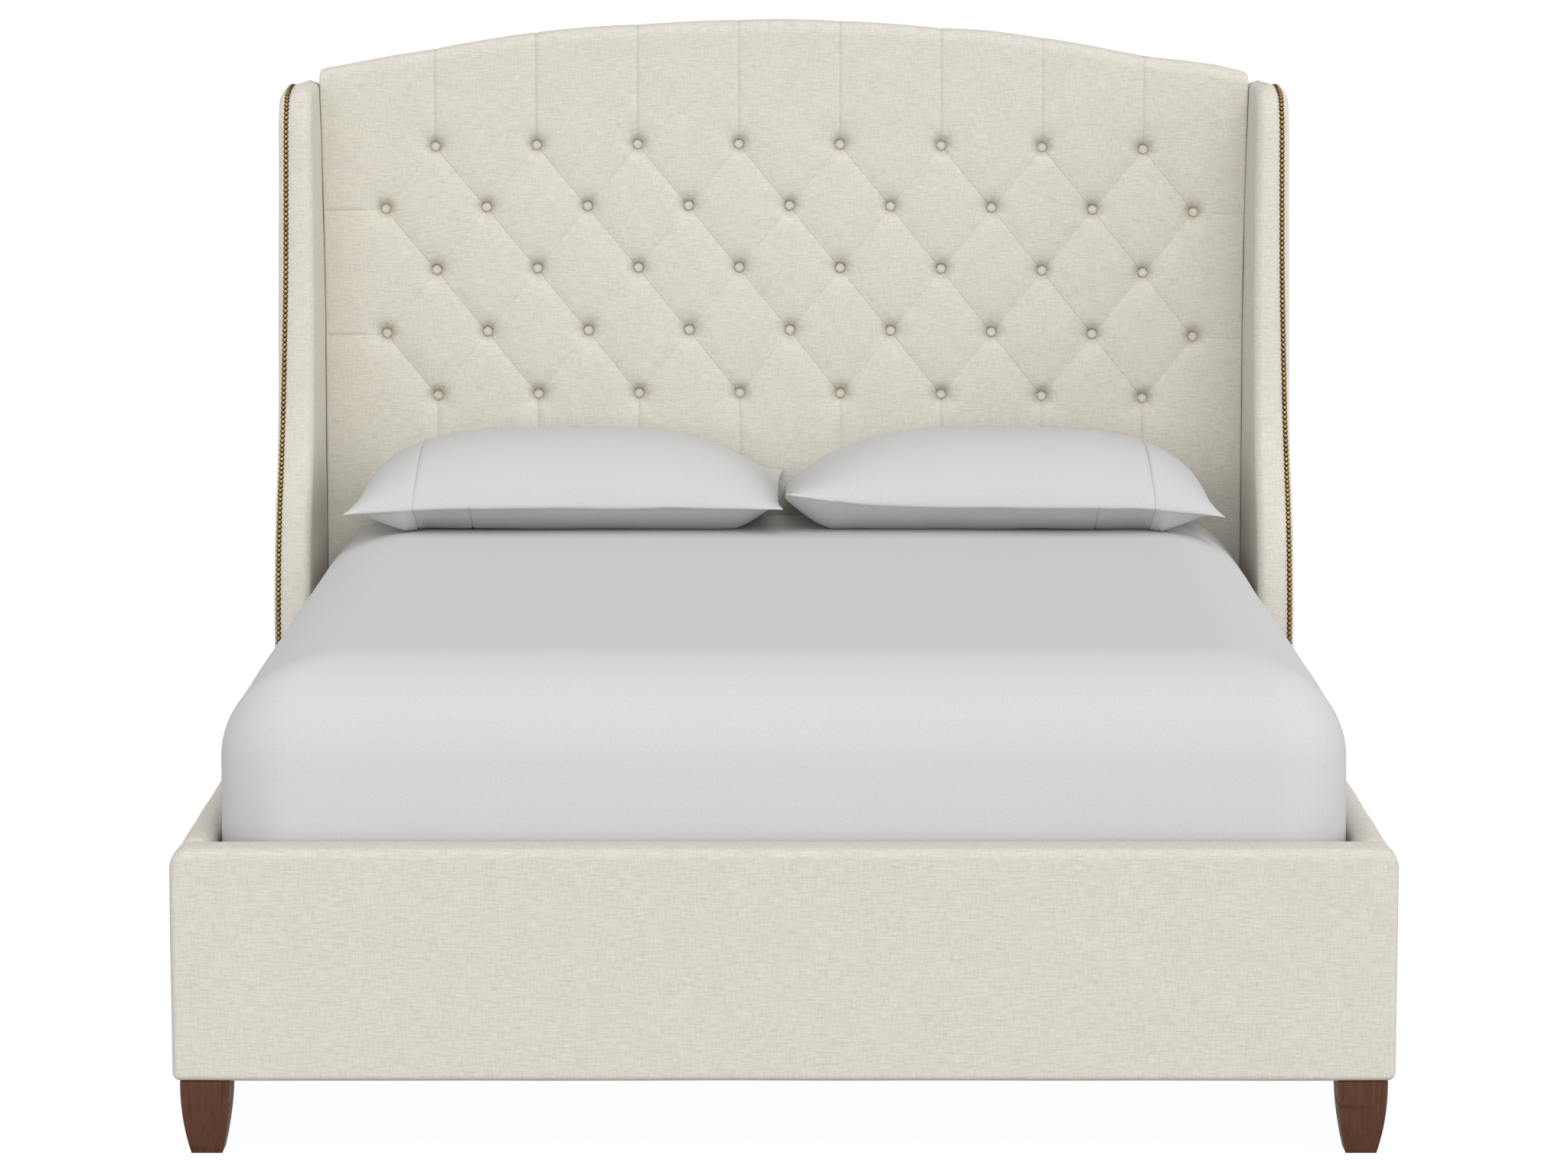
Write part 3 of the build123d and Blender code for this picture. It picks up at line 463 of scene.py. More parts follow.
def cotton_finish(name, colour, shaded_seams):
    """Smooth closely woven cotton with a very fine speckle, and painted shade along the seams where its mesh
    is marked.
    """
    material, maker = new_finish(name)
    place = cloth_place(maker)
    fine = maker.speckle(place, (330, 330, 1), 4.0, 0.7)
    soft = maker.speckle(place, (9, 9, 1), 2.0, 0.5)
    weft = maker.speckle(place, (300, 1500, 1), 1.0, 0.5)
    tone = maker.toned(fine, 0.35, 0.65, colour, 0.955, 1.045)
    tone = maker.mixed(maker.spread(soft, 0.3, 0.7, 0.0, 0.25), tone, shaded(colour, 0.975))
    height = fine * 0.5 + weft * 0.5
    if shaded_seams:
        # Painted shade along the hem seams: the cotton is darkened to a thin dark line, which the bump also
        # sinks.
        seam_outside, seam_inside = 0.0012, 0.0004
        outer, under, _ = marked(maker)
        line = (maker.spread(abs(outer), seam_outside, seam_inside) * 0.24
                + maker.spread(abs(under), seam_outside, seam_inside) * 0.20)
        tone = maker.mixed(line, tone, shaded(colour, 0.22))
        height = height - line * 2.0
    return close_finish(material, maker, {
        "Base Color": tone,
        "Roughness": maker.spread(fine, 0.3, 0.7, 0.85, 0.95),
        "Normal": maker.bump(height, 0.0003, 0.4),
        "Specular IOR Level": 0.06,
    })


def backing_finish(name, colour):
    """Black pressed cloth with short fibres and a grid of small bonded dots."""
    material, maker = new_finish(name)
    place = cloth_place(maker)
    fibre = maker.speckle(place, (180, 420, 1), 4.0, 0.7)
    dots = maker.node("ShaderNodeTexVoronoi", {"feature": "F1"},
                      {"Vector": place, "Scale": 420.0, "Randomness": 0.0})
    pressed = maker.spread(dots, 0.1, 0.35)
    return close_finish(material, maker, {
        "Base Color": maker.toned(fibre, 0.35, 0.65, colour, 0.7, 1.5),
        "Roughness": 0.9,
        "Normal": maker.bump(fibre * 0.4 + pressed * 0.6, 0.0004, 0.5),
        "Specular IOR Level": 0.25,
    })


def webbing_finish(name, colour):
    """Ribbed polyester strap."""
    material, maker = new_finish(name)
    place = object_place(maker)
    rib = maker.node("ShaderNodeTexWave", {"wave_type": "BANDS", "bands_direction": "Y"},
                     {"Vector": place, "Scale": 110.0, "Distortion": 0.4, "Detail": 1.0})
    fibre = maker.speckle(place, (600, 300, 600), 3.0, 0.6)
    return close_finish(material, maker, {
        "Base Color": maker.mixed(rib * 0.5 + fibre * 0.5, shaded(colour, 0.78), shaded(colour, 1.05)),
        "Roughness": 0.85,
        "Normal": maker.bump(rib + fibre * 0.3, 0.0005, 0.6),
    })


def wood_finish(name, colour, along, roughness=0.62, coat=0.0, contrast=0.32):
    """Sawn and sanded wood whose grain runs along one axis of the bed."""
    material, maker = new_finish(name)
    place = object_place(maker)

    def grain(lengthwise, crosswise):
        return [lengthwise if axis == along else crosswise for axis in range(3)]

    rings = maker.speckle(place, grain(1.4, 16.0), 3.0, 0.5, 0.8)
    late = maker.spread(maker.maths("FRACT", rings * 9.0), 0.55, 1.0) ** 2.0
    streak = maker.speckle(place, grain(9.0, 260.0), 4.0, 0.6)
    pores = maker.spread(maker.speckle(place, grain(45.0, 900.0), 2.0, 0.5), 0.6, 0.75)
    tone = maker.toned(streak, 0.3, 0.7, colour, 1.0 - contrast * 0.5, 1.0 + contrast * 0.5)
    tone = maker.mixed(late * contrast, tone, shaded(colour, 0.45))
    tone = maker.mixed(pores * contrast * 0.6, tone, shaded(colour, 0.35))
    return close_finish(material, maker, {
        "Base Color": tone,
        "Roughness": maker.spread(streak, 0.3, 0.7, roughness + 0.06, roughness - 0.06),
        "Normal": maker.bump(streak * 0.6 - pores * 0.5, 0.0004, 0.35),
        "Specular IOR Level": 0.2,
        "Coat Weight": coat,
        "Coat Roughness": 0.3,
    })


def ply_finish(name, colour, across):
    """Plywood: veneer faces, and plies that show as stripes across the thickness at cut edges."""
    material, maker = new_finish(name)
    place = object_place(maker)
    ply = 0.0013
    edge = maker.spread(maker.maths("PINGPONG", maker.axes(place)[across], ply), 0.0004, 0.0009)
    veneer = [2.0, 2.0, 2.0]
    veneer[across] = 40.0
    veneer[0 if across == 1 else 1] = 90.0
    grain = maker.speckle(place, veneer, 5.0, 0.6, 0.5)
    tone = maker.toned(grain, 0.3, 0.7, colour, 0.82, 1.12)
    return close_finish(material, maker, {
        "Base Color": maker.mixed(edge * 0.35, tone, shaded(colour, 0.5)),
        "Roughness": 0.68,
        "Normal": maker.bump(grain, 0.0004, 0.3),
    })


def painted_finish(name, colour, roughness):
    """Powder coat or moulded plastic with a fine orange peel."""
    material, maker = new_finish(name)
    place = object_place(maker)
    peel = maker.speckle(place, (700, 700, 700), 2.0, 0.5)
    dust = maker.speckle(place, (60, 60, 60), 4.0, 0.65)
    tone = maker.mixed(maker.spread(dust, 0.45, 0.75, 0.0, 0.5), opaque(colour), shaded(colour, 2.2))
    return close_finish(material, maker, {
        "Base Color": tone,
        "Roughness": maker.spread(dust, 0.3, 0.7, roughness - 0.06, roughness + 0.12),
        "Normal": maker.bump(peel, 0.0002, 0.4),
    })


def metal_finish(name, colour, dark_share, roughness, patch=90.0, rim_patina_and_shade=False):
    """Plated or patinated metal, darker and rougher in patches; domed heads get dark rims, partly patina and
    partly painted shade between the heads.
    """
    material, maker = new_finish(name)
    place = object_place(maker)
    tarnish = maker.speckle(place, (patch, patch, patch), 3.0, 0.6)
    scratch = maker.speckle(place, (1400, 500, 900), 2.0, 0.5)
    tone = maker.toned(tarnish, 0.35, 0.65, colour, dark_share, 1.0)
    if rim_patina_and_shade:
        # Rims of the heads are darkened almost to black: partly patina, partly painted shade where
        # neighbouring heads meet. The crown keeps the full brass colour, which stands in partly for its
        # highlight.
        tone = maker.mixed(maker.spread(marked(maker)[0], 0.50, 0.98), shaded(colour, 0.05), tone)
    return close_finish(material, maker, {
        "Base Color": tone,
        "Metallic": 1.0,
        "Roughness": maker.spread(tarnish + scratch * 0.3, 0.4, 0.9, roughness + 0.14, roughness - 0.04),
        "Normal": maker.bump(scratch, 0.00012, 0.4),
    })


def finish(name):
    """One of the bed's finishes by name, made the first time it is asked for."""
    colours = bpy.context.scene.bed_finishes
    makers = {
        "linen": lambda: linen_finish(name, shaded_folds=False),
        "tufted linen": lambda: linen_finish(name, shaded_folds=True),
        "mattress sheet": lambda: cotton_finish(name, colours.sheet, shaded_seams=False),
        "pillow cotton": lambda: cotton_finish(name, colours.pillow, shaded_seams=True),
        "backing cloth": lambda: backing_finish(name, colours.backing),
        "webbing": lambda: webbing_finish(name, colours.webbing),
        "stained wood": lambda: wood_finish(name, colours.stain, along=2, contrast=0.36),
        "pine along x": lambda: wood_finish(name, colours.pine, along=0),
        "pine along y": lambda: wood_finish(name, colours.pine, along=1),
        "pine along z": lambda: wood_finish(name, colours.pine, along=2),
        "slat wood": lambda: wood_finish(name, colours.slat, along=0, roughness=0.5, coat=0.1, contrast=0.26),
        "plywood wing": lambda: ply_finish(name, colours.ply, across=0),
        "plywood panel": lambda: ply_finish(name, colours.ply, across=1),
        "black steel": lambda: painted_finish(name, colours.black, roughness=0.40),
        "black plastic": lambda: painted_finish(name, colours.black, roughness=0.55),
        "zinc steel": lambda: metal_finish(name, colours.zinc, dark_share=0.72, roughness=0.34),
        "antique brass": lambda: metal_finish(name, colours.brass, dark_share=0.55, roughness=0.30,
                                              patch=130.0, rim_patina_and_shade=True),
    }
    return bpy.data.materials.get(f"{name} finish") or makers[name]()


class Net:
    """Points and faces of a mesh that grows strip by strip."""

    def __init__(self):
        self.points = []
        self.faces = []

    def add(self, points):
        """Adds a row of points and returns their numbers."""
        start = len(self.points)
        self.points.extend(tuple(float(part) for part in point) for point in points)
        return list(range(start, len(self.points)))

    def face(self, numbers):
        """Adds a face, leaving out doubled points."""
        kept = [number for place, number in enumerate(numbers) if number not in numbers[:place]]
        if len(kept) > 2:
            self.faces.append(kept)

    def strip(self, first, second, closed=False):
        """Quads between two rows of the same count."""
        for one in range(len(first) if closed else len(first) - 1):
            two = (one + 1) % len(first)
            self.face([first[one], first[two], second[two], second[one]])

    def tube(self, rings):
        """Closed strips from ring to ring."""
        for first, second in zip(rings, rings[1:]):
            self.strip(first, second, closed=True)

    def sheet(self, rows):
        """Open strips from row to row."""
        for first, second in zip(rows, rows[1:]):
            self.strip(first, second)

    def build(self, name, marks=None):
        """A shaded object with outward faces, a real-size cloth map and perhaps marks for its finish."""
        mesh = bpy.data.meshes.new(name)
        mesh.from_pydata(self.points, [], self.faces)
        if marks is not None:
            carry(mesh, MARKS, marks)
        work = bmesh.new()
        work.from_mesh(mesh)
        bmesh.ops.remove_doubles(work, verts=work.verts, dist=WELD)
        bmesh.ops.recalc_face_normals(work, faces=work.faces)
        work.to_mesh(mesh)
        work.free()
        return placed(name, mesh)


def carry(mesh, name, vectors):
    """Gives each point of a mesh a vector under a name."""
    layer = mesh.attributes.new(name, "FLOAT_VECTOR", "POINT")
    layer.data.foreach_set("vector", np.asarray(vectors, np.float32).ravel())


def linked(name, data):
    """Object in the scene for a mesh, a light or a camera."""
    thing = bpy.data.objects.new(name, data)
    bpy.context.scene.collection.objects.link(thing)
    return thing


def placed(name, mesh):
    """Object for a finished mesh, smooth and with its cloth map."""
    mesh.shade_smooth()
    lay_cloth(mesh)
    return linked(name, mesh)


def lay_cloth(mesh):
    """Map in metres: each face is laid out along the two axes that it faces least."""
    layer = mesh.uv_layers.get(CLOTH_MAP) or mesh.uv_layers.new(name=CLOTH_MAP)
    normals = read(mesh.polygons, "normal", 3)
    totals = read(mesh.polygons, "loop_total", 1, np.int32).ravel()
    corners = read(mesh.loops, "vertex_index", 1, np.int32).ravel()
    points = read(mesh.vertices, "co", 3)[corners]
    facing = np.repeat(np.abs(normals).argmax(axis=1), totals)
    across = np.where(facing == 0, points[:, 1], points[:, 0])
    along = np.where(facing == 2, points[:, 1], points[:, 2])
    layer.data.foreach_set("uv", np.column_stack((across, along)).astype(np.float32).ravel())


def read(items, field, width, kind=np.float32):
    """Values of one field of a mesh's items as an array."""
    values = np.zeros(len(items) * width, kind)
    items.foreach_get(field, values)
    return values.reshape(-1, width)


def write_points(mesh, points):
    mesh.vertices.foreach_set("co", np.asarray(points, np.float32).ravel())
    mesh.update()


def evaluated_mesh(piece):
    """Plain mesh of a piece with its modifiers carried out."""
    graph = bpy.context.evaluated_depsgraph_get()
    return bpy.data.meshes.new_from_object(piece.evaluated_get(graph))


def ramp(value, start, span):
    """Share of a span that a value is past its start, held between 0 and 1."""
    return np.clip((np.asarray(value) - start) / span, 0.0, 1.0)


def soften(piece, height, pitch, seed):
    """Slight unevenness of stuffed cloth, pushed along the surface's own directions."""
    points = read(piece.data.vertices, "co", 3)
    normals = read(piece.data.vertices, "normal", 3)
    shift = Vector((seed * 7.3, seed * 3.1, seed * 5.7))
    lift = np.array([noise.noise(Vector(point) / pitch + shift) for point in points])
    write_points(piece.data, points + normals * (lift * height)[:, None])


def held_in(piece, node, spare=0.0):
    """Brings points that are out of a node's box back to it, or to a spare length past its upper limits."""
    low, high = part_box(node)
    points = read(piece.data.vertices, "co", 3)
    write_points(piece.data, np.clip(points, np.array(low), np.array(high) + spare))


def dress(piece, body, slot, finish_name, *nodes):
    """Gives a piece its finish and its body, and hides the nodes that it stands for; the slot is not used."""
    piece.data.materials.clear()
    piece.data.materials.append(finish(finish_name))
    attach(piece, body)
    if nodes:
        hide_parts(*nodes)


def low_of(node):
    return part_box(node)[0]


def high_of(node):
    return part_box(node)[1]


def set_input(modifier, name, value):
    """Sets a named input of a geometry modifier by its identifier."""
    for item in modifier.node_group.interface.items_tree:
        if item.item_type == "SOCKET" and item.in_out == "INPUT" and item.name == name:
            modifier[item.identifier] = value
            return
    raise ValueError(f"the tree has no input {name}")


def new_tree(name, inputs):
    """Geometry tree with a mesh in, a mesh out and named inputs; returns its maker and its input wires."""
    tree = bpy.data.node_groups.new(name, "GeometryNodeTree")
    maker = Maker(tree)
    tree.interface.new_socket("Geometry", in_out="OUTPUT", socket_type="NodeSocketGeometry")
    for label, kind in {"Geometry": "NodeSocketGeometry", **inputs}.items():
        tree.interface.new_socket(label, in_out="INPUT", socket_type=kind)
    node = tree.nodes.new("NodeGroupInput")
    return maker, {socket.name: Wire(maker, socket) for socket in node.outputs if socket.name}


def studding_tree(name, spaced):
    """Copies of a shape at a mesh's points, or at even steps along its edges, turned to face outwards."""
    maker, wires = new_tree(name, {"Shape": "NodeSocketObject", "Pitch": "NodeSocketFloat",
                                   "Uneven": "NodeSocketFloat", "Finish": "NodeSocketMaterial"})
    seed = 4
    points = wires["Geometry"]
    if spaced:
        curve = maker.node("GeometryNodeMeshToCurve", None, {"Mesh": points})
        points = maker.node("GeometryNodeResampleCurve", {"mode": "LENGTH"},
                            {"Curve": curve, "Length": wires["Pitch"]})
    facing = maker.node("GeometryNodeInputNamedAttribute", {"data_type": "FLOAT_VECTOR"}, {"Name": FACING})
    turned = maker.node("FunctionNodeAlignRotationToVector", {"axis": "Z"}, {"Vector": facing})
    shape = maker.node("GeometryNodeObjectInfo", {"transform_space": "ORIGINAL"},
                       {"Object": wires["Shape"]}, out="Geometry")
    size = maker.node("FunctionNodeRandomValue", {"data_type": "FLOAT"},
                      {2: 1.0 - wires["Uneven"], 3: 1.0 + wires["Uneven"], "Seed": seed}, out=1)
    copies = maker.node("GeometryNodeInstanceOnPoints", None,
                        {"Points": points, "Instance": shape, "Rotation": turned, "Scale": size})
    real = maker.node("GeometryNodeRealizeInstances", None, {"Geometry": copies})
    done = maker.node("GeometryNodeSetMaterial", None, {"Geometry": real, "Material": wires["Finish"]})
    maker.node("NodeGroupOutput", None, {"Geometry": done})
    return maker.tree


def studded(name, points, facings, shape, finish_name, pitch=None, uneven=0.0):
    """Piece made of copies of a shape, at the points or at even steps along the line through them."""
    edges = [(number, number + 1) for number in range(len(points) - 1)] if pitch else []
    mesh = bpy.data.meshes.new(name)
    mesh.from_pydata([tuple(point) for point in points], edges, [])
    carry(mesh, FACING, facings)
    piece = linked(name, mesh)
    modifier = piece.modifiers.new(name, "NODES")
    label = "studs along a line" if pitch else "studs at points"
    modifier.node_group = bpy.data.node_groups.get(label) or studding_tree(label, bool(pitch))
    inputs = {"Shape": shape, "Pitch": pitch or 1.0, "Uneven": uneven, "Finish": finish(finish_name)}
    for socket, value in inputs.items():
        set_input(modifier, socket, value)
    copies = evaluated_mesh(piece)
    piece.modifiers.clear()
    piece.data = copies
    copies.shade_smooth()
    lay_cloth(copies)
    return piece


def turned_shape(name, profile, steps):
    """Round solid from (radius, height) places, closed at both ends, for copying; marked by its height."""
    net = Net()
    rings = []
    for radius, height in profile:
        if radius == 0:
            rings.append(net.add([(0, 0, height)]) * steps)
            continue
        angles = [2 * math.pi * step / steps for step in range(steps)]
        rings.append(net.add([(radius * math.cos(a), radius * math.sin(a), height) for a in angles]))
    net.tube(rings)
    top = profile[-1][1]
    return net.build(name, [(point[2] / top, 0, 0) for point in net.points])


def discard(piece):
    """Removes a shape that was only copied from."""
    mesh = piece.data
    bpy.data.objects.remove(piece)
    bpy.data.meshes.remove(mesh)


class Loop:
    """Closed outline of four sides, drawn as points with their outward directions."""

    def __init__(self):
        self.points = []
        self.outward = []
        self.corners = []

    def add(self, point, outward):
        self.points.append(point)
        self.outward.append(outward)

    def run(self, start, end, outward, steps):
        """Straight run without its last point."""
        for step in range(steps):
            share = step / steps
            self.add([a + (b - a) * share for a, b in zip(start, end)], outward)

    def bend(self, middle, radius, start, end, steps, corner=True):
        """Arc between two angles without its last point; its middle is one of the four corners."""
        for step in range(steps):
            if corner and step == steps // 2:
                self.corners.append(len(self.points))
            angle = start + (end - start) * step / steps
            way = (math.cos(angle), math.sin(angle))
            self.add([middle[0] + radius * way[0], middle[1] + radius * way[1]], way)

    def arrays(self):
        """Points and directions, rolled so that the first corner comes first."""
        first = self.corners[0]
        points = np.roll(np.array(self.points), -first, axis=0)
        outward = np.roll(np.array(self.outward), -first, axis=0)
        corners = [corner - first for corner in self.corners]
        return points, outward, corners


def rounded_loop(u0, u1, v0, v1, radii, steps_u, steps_v, arc_steps):
    """Rectangle with rounded corners; radii are given from the low corner round."""
    loop = Loop()
    low_left, low_right, high_right, high_left = radii
    loop.bend((u0 + low_left, v0 + low_left), low_left, -2 * QUARTER, -QUARTER, arc_steps)
    loop.run((u0 + low_left, v0), (u1 - low_right, v0), (0, -1), steps_u)
    loop.bend((u1 - low_right, v0 + low_right), low_right, -QUARTER, 0, arc_steps)
    loop.run((u1, v0 + low_right), (u1, v1 - high_right), (1, 0), steps_v)
    loop.bend((u1 - high_right, v1 - high_right), high_right, 0, QUARTER, arc_steps)
    loop.run((u1 - high_right, v1), (u0 + high_left, v1), (0, 1), steps_u)
    loop.bend((u0 + high_left, v1 - high_left), high_left, QUARTER, 2 * QUARTER, arc_steps)
    loop.run((u0, v1 - high_left), (u0, v0 + low_left), (-1, 0), steps_v)
    return loop


def filled(points, corners):
    """Grid of points inside a loop of four sides, blended from all sides."""
    a, b, c, d = corners
    bottom = points[a:b + 1]
    right = points[b:c + 1]
    top = points[c:d + 1][::-1]
    left = np.vstack((points[d:], points[:1]))[::-1]
    u = np.linspace(0, 1, len(bottom))[None, :, None]
    v = np.linspace(0, 1, len(left))[:, None, None]
    flat = (1 - v) * bottom[None] + v * top[None] + (1 - u) * left[:, None] + u * right[:, None]
    flat -= ((1 - u) * (1 - v) * bottom[0] + u * (1 - v) * bottom[-1]
             + (1 - u) * v * top[0] + u * v * top[-1])
    return flat


def in_space(flat, across, axis):
    """Points of an outline set at a place along the axis that it is thick along."""
    return np.insert(np.asarray(flat, float), axis, across, axis=-1)


def skinned(name, rings, corners):
    """Padded slab through closed rings of points, filled in at both ends."""
    net = Net()
    net.tube([net.add(ring) for ring in rings])
    for ring in (rings[0], rings[-1]):
        net.sheet([net.add(row) for row in filled(ring, corners)])
    return net.build(name)


def wrapped(name, loop, stations, axis):
    """Slab of one outline, drawn in by an inset at each place across; both may vary round the loop."""
    points, outward, corners = loop.arrays()
    rings = []
    for inset, across in stations:
        inset = np.broadcast_to(np.asarray(inset, float), len(points))
        rings.append(in_space(points - outward * inset[:, None], across, axis))
    return skinned(name, rings, corners)


def boxed(name, box, radii, stations, axis, steps, arc_steps=8):
    """Slab with rounded corners that shrink as its outline draws in, though never below a share.

    Each station holds the inset of sides and base, the inset of the top and the place across.
    """
    least_share = 0.35
    u0, u1, v0, v1 = box
    rings = []
    for inset, top_inset, across in stations:
        shrunk = [max(radius - max(inset, top_inset), radius * least_share) for radius in radii]
        loop = rounded_loop(u0 + inset, u1 - inset, v0 + inset, v1 - top_inset, shrunk, *steps, arc_steps)
        points, _, corners = loop.arrays()
        rings.append(in_space(points, across, axis))
    return skinned(name, rings, corners)


def rounded_edge(inset, top_inset, start, depth, steps=6):
    """Stations of a slab's rounded edge, from its first face until it has its full size."""
    angles = [QUARTER * step / steps for step in range(steps + 1)]
    return [(inset * (1 - math.sin(angle)), top_inset * (1 - math.sin(angle)),
             start + depth * (1 - math.cos(angle))) for angle in angles]


def fold_lines(rows, pitch, top, bottom, side):
    """Folds between neighbouring buttons, and pleats from the outer buttons to the edges."""
    folds = []
    for upper, lower in zip(rows, rows[1:]):
        for one in upper:
            folds += [(one, two) for two in lower if abs(two[0] - one[0]) < pitch]
    pleats = [(place, (place[0], top)) for place in rows[0]]
    pleats += [(place, (place[0], bottom)) for place in rows[-1]]
    for places in rows[1::2]:
        pleats.append((places[0], (-side, places[0][1])))
        pleats.append((places[-1], (side, places[-1][1])))
    return folds, pleats


def from_line(x, z, start, end):
    """Distance of points from a line, how far along it they are, as a share, and how far to its right."""
    span = np.hypot(end[0] - start[0], end[1] - start[1])
    way = ((end[0] - start[0]) / span, (end[1] - start[1]) / span)
    along = (x - start[0]) * way[0] + (z - start[1]) * way[1]
    across = (x - start[0]) * way[1] - (z - start[1]) * way[0]
    beyond = np.maximum(np.maximum(-along, along - span), 0)
    return np.hypot(across, beyond), np.clip(along / span, 0, 1), across


def tufted_depth(x, z, rows, folds, pleats):
    """How far the cloth lies behind the front of its puffs.

    Folds, pleats and dimples are added as powers, so that where they meet the deepest one counts.
    """
    sizes = bpy.context.scene.bed_tufting
    power = 3
    gathers, gather_share, gather_radius, gather_width = 7, 0.12, 0.015, 0.009
    total = np.zeros_like(x)
    for start, end in folds:
        away, share, _ = from_line(x, z, start, end)
        near_button = np.abs(2 * share - 1) ** 5
        crest = sizes.fold_depth + (sizes.fold_end_depth - sizes.fold_depth) * near_button
        crease = np.exp(-away / sizes.fold_width)
        flank = np.exp(-(away / sizes.puff_width) ** 1.35)
        total += (crest * (0.30 * crease + 0.70 * flank)) ** power
    for start, end in pleats:
        away, share, side = from_line(x, z, start, end)
        near_button = (1 - share) ** 14
        crest = sizes.pleat_depth + (sizes.fold_end_depth - sizes.pleat_depth) * near_button
        crease = np.exp(-away / np.where(side > 0, sizes.fold_width * 0.7, sizes.fold_width * 1.8))
        flank = np.exp(-(away / sizes.puff_width) ** 2)
        total += (crest * (0.7 * crease + 0.3 * flank)) ** power
    for number, (button_x, button_z) in enumerate(place for places in rows for place in places):
        away = np.hypot(x - button_x, z - button_z)
        turn = np.arctan2(z - button_z, x - button_x)
        close = np.exp(-((away - gather_radius) / gather_width) ** 2)
        gather = 1 + gather_share * np.sin(gathers * turn + number) * close
        reach = np.maximum(away - sizes.button_radius * 1.12, 0) / sizes.dimple_radius
        total += (sizes.dimple_depth * np.exp(-reach * gather)) ** power
    return total ** (1 / power)


def cushion_grid(rows, pitch, fall, half, bottom, arch):
    """Columns and heights of the cushion's mesh: cells run from button to button, finer beside them."""
    sizes = bpy.context.scene.bed_tufting
    middle = (rows[0][0][0] + rows[0][-1][0]) / 2
    top = rows[0][0][1]
    least, finer, cells_over, most_rows = 0.001, 0.45, 7, 20

    def eased_place(step):
        whole, part = divmod(step, sizes.cells)
        share = part / sizes.cells
        return whole + share - finer * math.sin(2 * math.pi * share) / (2 * math.pi)

    steps = range(-most_rows * sizes.cells, most_rows * sizes.cells)
    columns = [middle + pitch / 2 * eased_place(step) for step in steps]
    columns = [-half] + [x for x in columns if abs(x) < half - least] + [half]
    heights = [top + fall * eased_place(step) for step in steps if step < cells_over]
    heights = [bottom] + [height for height in heights if height > bottom + least]
    x = np.array(columns)
    crest = arch(x)
    count = round((crest.max() - heights[-1]) / (fall / sizes.cells))
    grid_z = [np.full(len(x), height) for height in heights]
    grid_z += [heights[-1] + (crest - heights[-1]) * step / count for step in range(1, count + 1)]
    return np.broadcast_to(x, (len(grid_z), len(x))), np.array(grid_z)


def cushion_faces(net, numbers, depth):
    """Cells of the cushion, split along whichever diagonal lies deeper in a fold."""
    level = 0.0001
    for row in range(len(numbers) - 1):
        for column in range(len(numbers[0]) - 1):
            a, b = numbers[row][column], numbers[row][column + 1]
            c, d = numbers[row + 1][column + 1], numbers[row + 1][column]
            rising = depth[row, column] + depth[row + 1, column + 1]
            falling = depth[row, column + 1] + depth[row + 1, column]
            if abs(rising - falling) < level:
                net.face([a, b, c, d])
            elif rising > falling:
                net.face([a, b, c])
                net.face([a, c, d])
            else:
                net.face([a, b, d])
                net.face([b, c, d])


def crest_sink(x):
    """How far the cushion's crest sinks below the panel's arch, uneven as hand stuffed padding is."""
    share = np.asarray(x) / high_of("headboard_pad").x
    places, heights = zip(*CREST)
    return np.interp(share, places, heights)


def flare(height):
    """How far the seam between cushion and wing moves out towards the top."""
    flare_from, flare_span = 0.95, 0.41
    return bpy.context.scene.bed_wing.flare * ramp(height, flare_from, flare_span) ** 1.6


def arch_radius():
    """Radius of the headboard's arch, from its rise and its half width."""
    rise = bpy.context.scene.bed_tufting.sagitta
    return (high_of("headboard_pad").x ** 2 + rise ** 2) / (2 * rise)


def cushion_front(inner, arch):
    """Places and depths of the tufted front, moved as the stuffing pulled it, but not at its edges."""
    sizes = bpy.context.scene.bed_tufting
    low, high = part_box("headboard_pad")
    side_fade, edge_fade = 0.05, 0.10
    rows, pitch, fall = tuft_rows()
    folds, pleats = fold_lines(rows, pitch, high.z, low.z, inner + sizes.side_roll)
    x, z = cushion_grid(rows, pitch, fall, inner, low.z + sizes.side_roll, arch)
    depth = tufted_depth(x, z, rows, folds, pleats)
    aside, up = pulled(x, np.clip(z - middle_height(rows), -PULL_HEIGHT, PULL_HEIGHT))
    x = x + aside * ramp(inner - np.abs(x), 0, side_fade)
    z = z + up * ramp(arch(x) - z, 0, edge_fade) * ramp(z - z[0, 0], 0, edge_fade)
    return x, z, depth


def cushion_rim(x, inner, reach):
    """Places round the front's edge as (row, column), and their outward directions, fanned at the corners.

    reach is the radius of the arch that the front ends at.
    """
    last_row, last_column = len(x) - 1, x.shape[1] - 1
    crown = math.asin(inner / reach)
    corner_steps = 6

    def fan(place, start, end):
        return [(place, start + (end - start) * (step + 0.5) / corner_steps) for step in range(corner_steps)]

    rim = [((row, 0), 2 * QUARTER) for row in range(last_row)]
    rim += fan((last_row, 0), 2 * QUARTER, QUARTER + crown)
    rim += [((last_row, column), QUARTER - math.asin(x[last_row, column] / reach))
            for column in range(1, last_column)]
    rim += fan((last_row, last_column), QUARTER - crown, 0.0)
    rim += [((row, last_column), 0.0) for row in range(last_row - 1, 0, -1)]
    rim += fan((0, last_column), 0.0, -QUARTER)
    rim += [((0, column), -QUARTER) for column in range(last_column - 1, 0, -1)]
    rim += fan((0, 0), -QUARTER, -2 * QUARTER)
    angles = np.array([angle for _, angle in rim])
    return [place for place, _ in rim], np.column_stack((np.cos(angles), np.sin(angles)))


